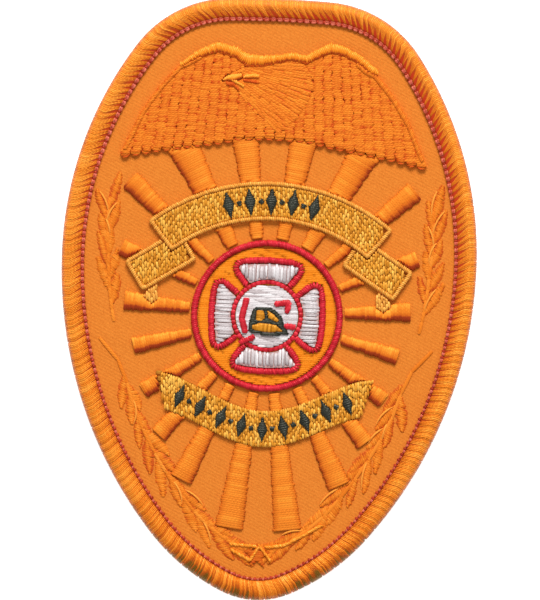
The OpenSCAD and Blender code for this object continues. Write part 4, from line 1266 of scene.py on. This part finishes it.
folds = Pile()
fold_nodes = ["scroll_fold_right", "scroll_fold_left"]
for node in fold_nodes:
    edges = plan_edges(node, raised)
    low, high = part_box(node)
    top = height_of(node)[1]
    brick_fill(folds, edges, np.array((low[0] / MM, 0.0)), heading(FILL_TURN), (high[0] - low[0]) / MM,
               top - 0.22, top - half_thread, FILL_PITCH, FILL_STITCH, wide=0.34, high=0.2, ends=0.5,
               **FILL_RANDOM)
folds.build("scroll_fold_fill", pale_gold_rayon, "gold_thread", *fold_nodes)

# %% [markdown]
# ## The scrolls' edging and ornaments
# A narrow pale satin column runs round the upper scroll and its tails, and closes the ends of the
# fill. It could be a tube with a wrapped thread picture, but its stitches are seen one by one at the
# corners, so it is walked along the outline. Rows of plain black lozenges and dots decorate both
# scrolls. Each is a tiny satin column of its own, laid across its length.

# %% The upper scroll's edging
EDGE_W = 0.70
EDGE_PITCH = 0.30
edge_top = height_of("scroll_upper_edge")[1]
edging_pile = Pile()
upper_edges = plan_edges("scroll_upper_edge", raised)
outer = max(plan_loops(upper_edges), key=lambda loop: abs(area_of(loop)))
outer = outer if area_of(outer) > 0 else outer[::-1]
outer = rounded(even_steps(outer, WALK_STEP), WALK_STEP, 0.4)
outer = even_steps(outer, EDGE_PITCH)
edging(edging_pile, outer, -normals_of(outer, ease=1), EDGE_W, cloth_top + 0.3, edge_top - 0.2,
       edge_top - half_thread, wide=0.3, high=0.18)
print("stitches round the upper scroll:", len(outer))

# %% The tails' edging
edge_nodes = ["scroll_upper_edge"]
TAIL_SLOPE = 32.6
for side, node in ((1, "scroll_tail_edge_right"), (-1, "scroll_tail_edge_left")):
    edges = plan_edges(node, raised)
    u, v = heading(-side * TAIL_SLOPE), heading(90 - side * TAIL_SLOPE)
    spots = edges.reshape(-1, 2)
    u0, u1, v0, v1 = (spots @ u).min(), (spots @ u).max(), (spots @ v).min(), (spots @ v).max()
    corners = [u * a + v * b for a, b in ((u0, v0), (u1, v0), (u1, v1), (u0, v1))]
    box = even_steps(np.array(corners), WALK_STEP)
    box = even_steps(rounded(box, WALK_STEP, 0.55), EDGE_PITCH)
    edging(edging_pile, box, -normals_of(box, ease=1), EDGE_W, cloth_top + 0.3, edge_top - 0.2,
           edge_top - half_thread, keep=lambda p, e=edges: inside(e, p), wide=0.3, high=0.18)
    edge_nodes.append(node)
edging_pile.build("scroll_edging", pale_gold_rayon, "light_gold_thread", *edge_nodes)

# %% Dark ornaments
marks = Pile()
for node in ("scroll_upper_marks", "scroll_lower_marks"):
    low, high = height_of(node)
    satin_shapes(marks, node, cloth_top, low - 0.1, high - 0.2, high - 0.05, pitch=0.33, shortest=0.15)
marks.build("scroll_lozenges", black_rayon, "black_thread", "scroll_upper_marks", "scroll_lower_marks")

# %% [markdown]
# ## The medallion
# A red satin ring holds an orange field of long level stitches. The red line round the cross's arms
# is a satin column as well, and its part round the middle is a row of short level dashes. All of them
# could be turned or extruded shapes, but what makes the red glow on the real badge is the light along
# each thread. So they are walked stitch by stitch, and the dashes are laid end to end.

# %% The ring
RING_LINE = 1.0
RING_PITCH = 0.30
ring_low, ring_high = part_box("medallion_ring")
ring_r = (ring_high[0] - ring_low[0]) / 2 / MM
ring_top = height_of("medallion_ring")[1]
turns = np.radians(np.arange(0, 360, 360 / (2 * math.pi * ring_r / RING_PITCH)))
circle = np.stack([np.cos(turns), np.sin(turns)], axis=1)
ring = Pile()
edging(ring, hub + circle * ring_r, -circle, RING_LINE, cloth_top + 0.05, ring_top - 0.45,
       ring_top - half_thread)
ring.build("medallion_ring_satin", red_rayon, "red_thread", "medallion_ring")

# %% The field
FIELD_PITCH, FIELD_STITCH = 0.28, 3.4
cross_edges = plan_edges("cross_outline", raised)
cross_loops = plan_loops(cross_edges)
outermost = max(cross_loops, key=lambda loop: abs(area_of(loop)))
outer_edges = np.stack([outermost, np.roll(outermost, -1, axis=0)], axis=1)
field_edges = np.concatenate([plan_edges("medallion_field"), outer_edges])
field_top = height_of("medallion_field")[1]
field = Pile()
low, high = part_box("medallion_field")
brick_fill(field, field_edges, np.array((0.0, low[1] / MM)), heading(90), (high[1] - low[1]) / MM,
           field_top - 0.18, field_top - 0.08, FIELD_PITCH, FIELD_STITCH, offsets=4, uneven=0.12, wide=0.3,
           ends=0.5)
field.build("medallion_field_fill", field_rayon, "orange_thread", "medallion_field")

# %% The cross's red lines
CROSS_LINE = 1.0
CROSS_PITCH = 0.28
HUB_LINE = 0.65
DASH = 0.78
DASH_OVERLAP = 0.04
cross_top = height_of("cross_outline")[1]
hub_edge = (hub_high[0] - hub_low[0]) / 2 / MM
line_r = hub_edge + 0.1 + HUB_LINE / 2
cross = Pile()
for loop in cross_loops:
    if loop is outermost or np.linalg.norm(loop.mean(axis=0) - hub) < 1:
        continue
    path = even_steps(loop if area_of(loop) > 0 else loop[::-1], WALK_STEP)
    path = even_steps(rounded(path, WALK_STEP, 0.4), CROSS_PITCH)
    edging(cross, path, normals_of(path, ease=3), CROSS_LINE, field_top - 0.1, cross_top - 0.25,
           cross_top - half_thread + 0.06,
           keep=lambda p: np.linalg.norm(p - hub) > line_r + HUB_LINE / 2 and inside(outer_edges, p))
dashes = int(round(2 * math.pi * line_r / DASH))
for i in range(dashes):
    line = []
    for share in SHORT_SHARES:
        way = heading((i - DASH_OVERLAP + (1 + 2 * DASH_OVERLAP) * share) * 360 / dashes)
        rise = 0.0 if share in (0.0, 1.0) else 0.3
        line.append((*(hub + way * line_r), field_top + rise))
    way = heading((i + 0.5) * 360 / dashes)
    cross.lay(line, way, wide=0.6, high=0.26, ends=0.85)
cross.build("cross_line_satin", red_rayon, "red_thread", "cross_outline")

# %% [markdown]
# ## The white arms and the disc
# Each arm is satin laid square to its length, so the four of them shine differently as light falls on
# them. Their ends are ragged against the red line, and pinkish underlay shows between the threads. The
# disc in the middle is a fill of level stitches. White cloth cut to shape would be simpler, but then
# nothing would tell the arms from a print.

# %% White arms and disc
ARM_PITCH, DISC_PITCH, DISC_STITCH = 0.29, 0.3, 3.2
arms = Pile()
arm_nodes = ["cross_arm_top", "cross_arm_right", "cross_arm_bottom", "cross_arm_left"]
for node, turn in zip(arm_nodes, (0, -90, 180, 90)):
    edges = plan_edges(node, raised)
    ahead = heading(turn)
    spots = (edges.reshape(-1, 2) - hub) @ ahead
    top = height_of(node)[1]
    satin(arms, edges, hub + ahead * spots.min(), ahead, spots.max() - spots.min(), field_top - 0.1,
          top - 0.4, top - half_thread, ARM_PITCH, ragged=0.26, wide=0.32, high=0.2)
arms.build("cross_arm_satin", white_rayon, "white_thread", *arm_nodes)
padding("arm_padding", pink_rayon, "white_thread", *arm_nodes, share=0.4)

disc = Pile()
disc_top = height_of("hub_disc")[1]
brick_fill(disc, plan_edges("hub_disc"), np.array((hub[0], hub_low[1] / MM)), heading(90),
           (hub_high[1] - hub_low[1]) / MM, disc_top - 0.2, disc_top - 0.1, DISC_PITCH, DISC_STITCH,
           offsets=3, ends=0.7)
disc.build("hub_disc_fill", white_rayon, "white_thread", "hub_disc")

# %% [markdown]
# ## The helmet and the tools
# They are sewn on the disc last, a few threads wide each: a black outline, gold panels and red tools.
# So small a figure could be one dark shape, but its colours are what one recognises, so each part
# keeps its own thread. One handle is an edging along a typed line, which gives it stitches of even
# length.

# %% Helmet and tools
SMALL_PITCH, PANEL_PITCH = 0.28, 0.3
helmet = Pile()
helmet_low, helmet_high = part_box("helmet_outline")
top = height_of("helmet_outline")[1]
satin(helmet, plan_edges("helmet_outline"), np.array((0.0, helmet_low[1] / MM)), heading(90),
      (helmet_high[1] - helmet_low[1]) / MM, top - 0.3, top - 0.2, top - 0.08, SMALL_PITCH, shortest=0.1,
      grow=0.2)
helmet.build("helmet_line_satin", black_rayon, "black_thread", "helmet_outline")

panels = Pile()
top = height_of("helmet_panels")[1]
satin_shapes(panels, "helmet_panels", cloth_top, top - 0.35, top - 0.2, top - 0.08, pitch=PANEL_PITCH,
             shortest=0.15, ragged=0.02)
panels.build("helmet_panel_satin", dark_gold_rayon, "gold_thread", "helmet_panels")

HANDLE_FROM, HANDLE_TO, HANDLE_W = (-1.9, -5.75), (-3.9, -6.7), 0.75
tools = Pile()
top = height_of("helmet_tools")[1]
satin_shapes(tools, "helmet_tools", cloth_top, top - 0.3, top - 0.2, top - 0.05, pitch=SMALL_PITCH,
             shortest=0.15, grow=0.08)
handle = even_steps(np.array((HANDLE_FROM, HANDLE_TO)), SMALL_PITCH, closed=False)
handle_side = normals_of(handle, closed=False)
edging(tools, handle - handle_side * HANDLE_W / 2, handle_side, HANDLE_W, top - 0.3, top - 0.2, top - 0.05)
tools.build("tool_satin", red_rayon, "red_thread", "helmet_tools")

# %% [markdown]
# ## The leaf sprays
# The sprays are worked in the ground's own orange, so only their relief shows, with painted shade at
# the ends of their stitches. A stem follows the rim, and leaves splay from it by turns to either side.
# The imported solids give each spray as one body, and its outline could be filled as one, but the eye
# looks for leaves. So they are laid leaf by leaf, with a random length, width and splay, and with
# threads that slant across them. Some have a raised thread along the upper edge, towards the light,
# tinted to the brightest stop as a painted highlight.

# %% Distances down the badge's edge
STEM_IN = 7.2
edge_line = rim + rim_out * WRAP
top_at, foot_at = int(edge_line[:, 1].argmax()), int(edge_line[:, 1].argmin())
right_side = [(top_at - k) % len(rim) for k in range((top_at - foot_at) % len(rim))]
right_edge, right_in = edge_line[right_side], -rim_out[right_side]
right_run = np.concatenate([[0], np.cumsum(np.linalg.norm(np.diff(right_edge, axis=0), axis=1))])


def down_edge(run, inward):
    """Point at a distance down the badge's right edge from its top, and a distance in from it."""
    x, y, nx, ny = (np.interp(run, right_run, v) for v in (*right_edge.T, *right_in.T))
    return np.array((x + nx * inward, y + ny * inward))


def run_at_height(y):
    """Distance down the right edge at which it passes a height."""
    lower_part = right_edge[:, 0] > right_edge[:, 0].max() / 2
    return float(np.interp(-y, -right_edge[lower_part, 1], right_run[lower_part]))


print("down the right edge in mm:", round(float(right_run[-1]), 1))

# %% Sprays, leaf by leaf
LEAF_EVERY = 1.9
LEAF_SIZES = (4.6, 6.4), (1.2, 1.9), (8, 22)  # length, width and splay in degrees
LEAF_PITCH = 0.33
LEAF_RISE = (0.02, 0.07)
LEAF_END_SHADE = (0.3, 1.2)
LEAF_SLANT = (0.2, 0.5)
LEAF_LEAST, LEAF_LEAST_HALF = 0.28, 0.14
EDGED_LEAVES = 0.25
EDGE_HEIGHTS = np.array((0.0, 0.2, 0.26, 0.26, 0.2, 0.0))
STEM_BARE = 0.14
STEM_THREAD = 0.5
MIDDLE_CLEAR = 0.6  # nothing is laid this near the badge's middle line
spray_bounds = covers + [plan_edges(node) for node in ray_nodes] + [plan_edges("base_star")]
# Each spray's name, its two ends down the edge, and the stem's sway inward at shares of its length.
SPRAYS = (
    ("upper", run_at_height(-5.5), run_at_height(15.5), ((0, 0.3), (0.5, 0), (1, -0.9))),
    ("lower", run_at_height(-8), right_run[-1] - 5, ((0, -2.2), (0.12, 0.5), (0.25, 0), (1, 0))),
)
print("upper spray's stem in mm:", round(abs(SPRAYS[0][2] - SPRAYS[0][1]), 1))

# %% Laying the sprays
for name, start_run, end_run, sway in SPRAYS:
    shares, sways = zip(*sway)
    for mirror, hand in ((1, "right"), (-1, "left")):
        spray = Pile((0.38, 0.82))
        span = end_run - start_run

        def stem(share):
            """Point on the stem at a share of its length."""
            point = down_edge(start_run + span * share, STEM_IN + np.interp(share, shares, sways))
            return point * (mirror, 1)

        steps = np.linspace(0, 1, 12)
        for a, b in zip(steps, steps[1:]):
            p, q = stem(a), stem(b)
            way = (q - p) / np.linalg.norm(q - p)
            ends = p - way * 0.1, q + way * 0.1
            line = arched(*ends, cloth_top + 0.05, cloth_top + 0.1, cloth_top + 0.12, SHORT_SHARES)
            spray.lay(line, (-way[1], way[0]), wide=STEM_THREAD, high=0.1, ends=0.8)
        count = int(abs(span) * (1 - STEM_BARE) / LEAF_EVERY)
        for i in range(count):
            share = STEM_BARE + (1 - STEM_BARE) * i / count
            base = stem(share)
            ahead = stem(share + 0.01) - base
            leaf_long, leaf_wide, splay = (rng.uniform(*sizes) for sizes in LEAF_SIZES)
            turn = math.degrees(math.atan2(ahead[1], ahead[0])) + (splay if i % 2 else -splay)
            axis, across = heading(turn), heading(turn + 90)
            arc_r = (leaf_long**2 + leaf_wide**2) / (4 * leaf_wide)
            lift = 0.02 * (i % 2)
            rise = rng.uniform(*LEAF_RISE)
            # Painted shade at each thread's ends, for the grooves round the leaf.
            leaf_blush = rng.uniform(*LEAF_END_SHADE)
            for k in range(int(leaf_long / LEAF_PITCH)):
                t = (k + 0.5) * LEAF_PITCH - leaf_long / 2
                half = math.sqrt(arc_r**2 - t * t) - (arc_r - leaf_wide / 2)
                if half < LEAF_LEAST_HALF:
                    continue
                centre = base + axis * (t + leaf_long / 2 + rng.uniform(-0.03, 0.03))
                way = across + axis * rng.uniform(*LEAF_SLANT)
                way /= np.linalg.norm(way)
                spans = clear_of([(-half, half)], spray_bounds, centre, way)
                for a, b in spans:
                    a, b = a + rng.uniform(-0.15, 0.1), b + rng.uniform(-0.1, 0.15)
                    if b - a > LEAF_LEAST and abs(centre[0]) > MIDDLE_CLEAR:
                        crown = cloth_top + rise + lift + rng.uniform(0, 0.03)
                        ends = centre + way * a, centre + way * b
                        line = arched(*ends, cloth_top - 0.08, cloth_top + 0.02 + lift, crown, SHORT_SHARES)
                        spray.lay(line, axis, wide=0.36, high=0.15, ends=0.9, blush=leaf_blush)
            # Painted highlight: a raised thread on the leaf's upper edge, towards the light, at the
            # brightest tint.
            if rng.random() < EDGED_LEAVES:
                bright = np.linspace(rng.uniform(0.05, 0.3), rng.uniform(0.7, 0.95), len(EDGE_HEIGHTS))
                along = (bright - 0.5) * leaf_long
                halves = np.sqrt(arc_r**2 - along**2) - (arc_r - leaf_wide / 2)
                upper_side = 1 if across[1] > 0 else -1
                edge = base + np.outer(along + leaf_long / 2, axis) + np.outer(upper_side * halves, across)
                clear = not any(inside(cover, spot) for cover in spray_bounds for spot in edge)
                if clear and np.abs(edge[:, 0]).min() > MIDDLE_CLEAR:
                    line = np.column_stack([edge, cloth_top + EDGE_HEIGHTS])
                    spray.lay(line, across, wide=0.3, high=0.2, tint=1.0)
        node = f"spray_{name}_{hand}"
        spray.build(node + "_satin", ground_rayon, "ground_thread", node)

# %% [markdown]
# ## The star at the foot
# A small satin star sits between the sprays, deep orange, with a few loose bright rows over and beside
# it. A neat five-pointed star would be easy, but on the real badge the machine's rows have slipped, so
# the bright rows follow typed lines.

# %% Star and its bright rows
STAR_PITCH = 0.3
STAR_LINE_W, STAR_LINE_PITCH = 0.5, 0.27
STAR_LINES = (
    ((-1.0, -39.8), (0.3, -37.6), (2.0, -39.7)),
    ((-4.0, -37.5), (-0.2, -37.7)),
    ((-3.9, -38.4), (-1.2, -39.8)),
    ((1.4, -37.8), (4.0, -37.4), (7.0, -35.7), (9.6, -34.1)),
)
star = Pile((0.0, 0.3))
star_low, star_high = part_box("base_star")
top = height_of("base_star")[1]
satin(star, plan_edges("base_star"), np.array((0.0, star_low[1] / MM)), heading(90),
      (star_high[1] - star_low[1]) / MM, cloth_top, top - 0.45, top - 0.3, STAR_PITCH, shortest=0.2)
star.build("base_star_satin", orange_rayon, "orange_thread", "base_star")

outline = Pile((0.5, 1.0))
for spots in STAR_LINES:
    path = even_steps(np.array(spots), STAR_LINE_PITCH, closed=False)
    side_way = normals_of(path, closed=False)
    crown = cloth_top + (0.5 if len(spots) == 3 else 0.3)  # the row of three points is the star's own
    edging(outline, path - side_way * STAR_LINE_W / 2, side_way, STAR_LINE_W, cloth_top + 0.05,
           cloth_top + 0.25, crown, slant=0.9, wide=0.36, high=0.14)
outline.build("base_star_outline", crest_rayon, "ground_thread")

# %% [markdown]
# ## The table
# The badge lies on white card, coated and matt: it scatters all light and shows no gloss. A plain
# white background would be easier still, but a card takes the shadow that seats the badge. A little
# light of its own keeps it white.

# %% Table
# The grain of coated card is too fine to show, so its specks are drawn just under 2 mm wide.
CARD_GRAIN = 900.0  # specks along the card's side
CARD_SIZE = 1.6
CARD_GLOW = 0.75
floor_material, tree = new_material("white_card")
grain = add(tree, "ShaderNodeTexNoise", {"Scale": CARD_GRAIN, "Detail": 3.0})
tone = add(tree, "ShaderNodeValToRGB", Fac=grain.outputs["Fac"])
tone.color_ramp.elements[0].color = linear("#F6F6F6")
tone.color_ramp.elements[1].color = linear("#FBFBFB")
shader = add(
    tree,
    "ShaderNodeBsdfPrincipled",
    {"Roughness": 0.9, "Emission Color": linear("#FFFFFF"), "Emission Strength": CARD_GLOW},
    Base_Color=tone.outputs["Color"],
)
add(tree, "ShaderNodeOutputMaterial", Surface=shader.outputs["BSDF"])
bpy.ops.mesh.primitive_plane_add(size=CARD_SIZE, location=(0, 0, 0))
floor = bpy.context.object
floor.name = "table"
floor.data.materials.append(floor_material)
print("table's side in metres:", CARD_SIZE)

# %% [markdown]
# ## Light
# The photograph's light comes from beyond the badge's top edge: every column of thread is bright above
# and dark below. A low sun would do that, but its shadows would be hard. So there is one broad soft
# lamp, 42 degrees up, and a pale sky that fills the shadows.

# %% Sky and lamp
SKY_STRENGTH = 0.48
LAMP_POWER = 15.2
LAMP_SIDES = 0.6, 0.4
LAMP_HEIGHT = 42  # degrees above the table
LAMP_REACH = 1.2
LAMP_RIGHT = 0.03
world = bpy.data.worlds.new("pale_sky")
scene.world = world
world.use_nodes = True
sky = world.node_tree.nodes["Background"]
sky.inputs["Color"].default_value = linear("#FFFFFF")
sky.inputs["Strength"].default_value = SKY_STRENGTH

lamp = bpy.data.lights.new("softbox", "AREA")
lamp.shape = "RECTANGLE"
lamp.size, lamp.size_y = LAMP_SIDES
lamp.energy = LAMP_POWER
softbox = bpy.data.objects.new("softbox", lamp)
scene.collection.objects.link(softbox)
up = math.radians(LAMP_HEIGHT)
softbox.location = (LAMP_RIGHT, LAMP_REACH * math.cos(up), LAMP_REACH * math.sin(up))
softbox.rotation_euler = (math.radians(LAMP_HEIGHT - 90), 0, 0)
print("lamp at:", [round(v, 2) for v in softbox.location])

# %% [markdown]
# ## Camera
# The camera looks straight down, as for a catalogue. A short lens would show the border's near side
# more than its far side, so it has a long one, and stands far off. It is rolled a little, since the
# badge lay askew in the photograph.

# %% Camera
LENS = 200
SENSOR = 36.0
VIEW_H = 91.58  # mm that the picture's height takes in
ROLL = 2.4
AIM = (0.37, -0.06)
EDGE_LEVEL = 1.3  # height of the widest part of the border
camera_data = bpy.data.cameras.new("camera")
camera_data.lens = LENS
camera_data.sensor_width = SENSOR
camera = bpy.data.objects.new("camera", camera_data)
scene.collection.objects.link(camera)
distance = VIEW_H / SENSOR * LENS
camera.location = (AIM[0] * MM, AIM[1] * MM, (distance + EDGE_LEVEL) * MM)
camera.rotation_euler = (0, 0, math.radians(ROLL))
camera_data.clip_start, camera_data.clip_end = 0.05, 5.0
scene.camera = camera
scene.view_settings.view_transform = "Standard"
print("camera's distance in mm:", round(distance))
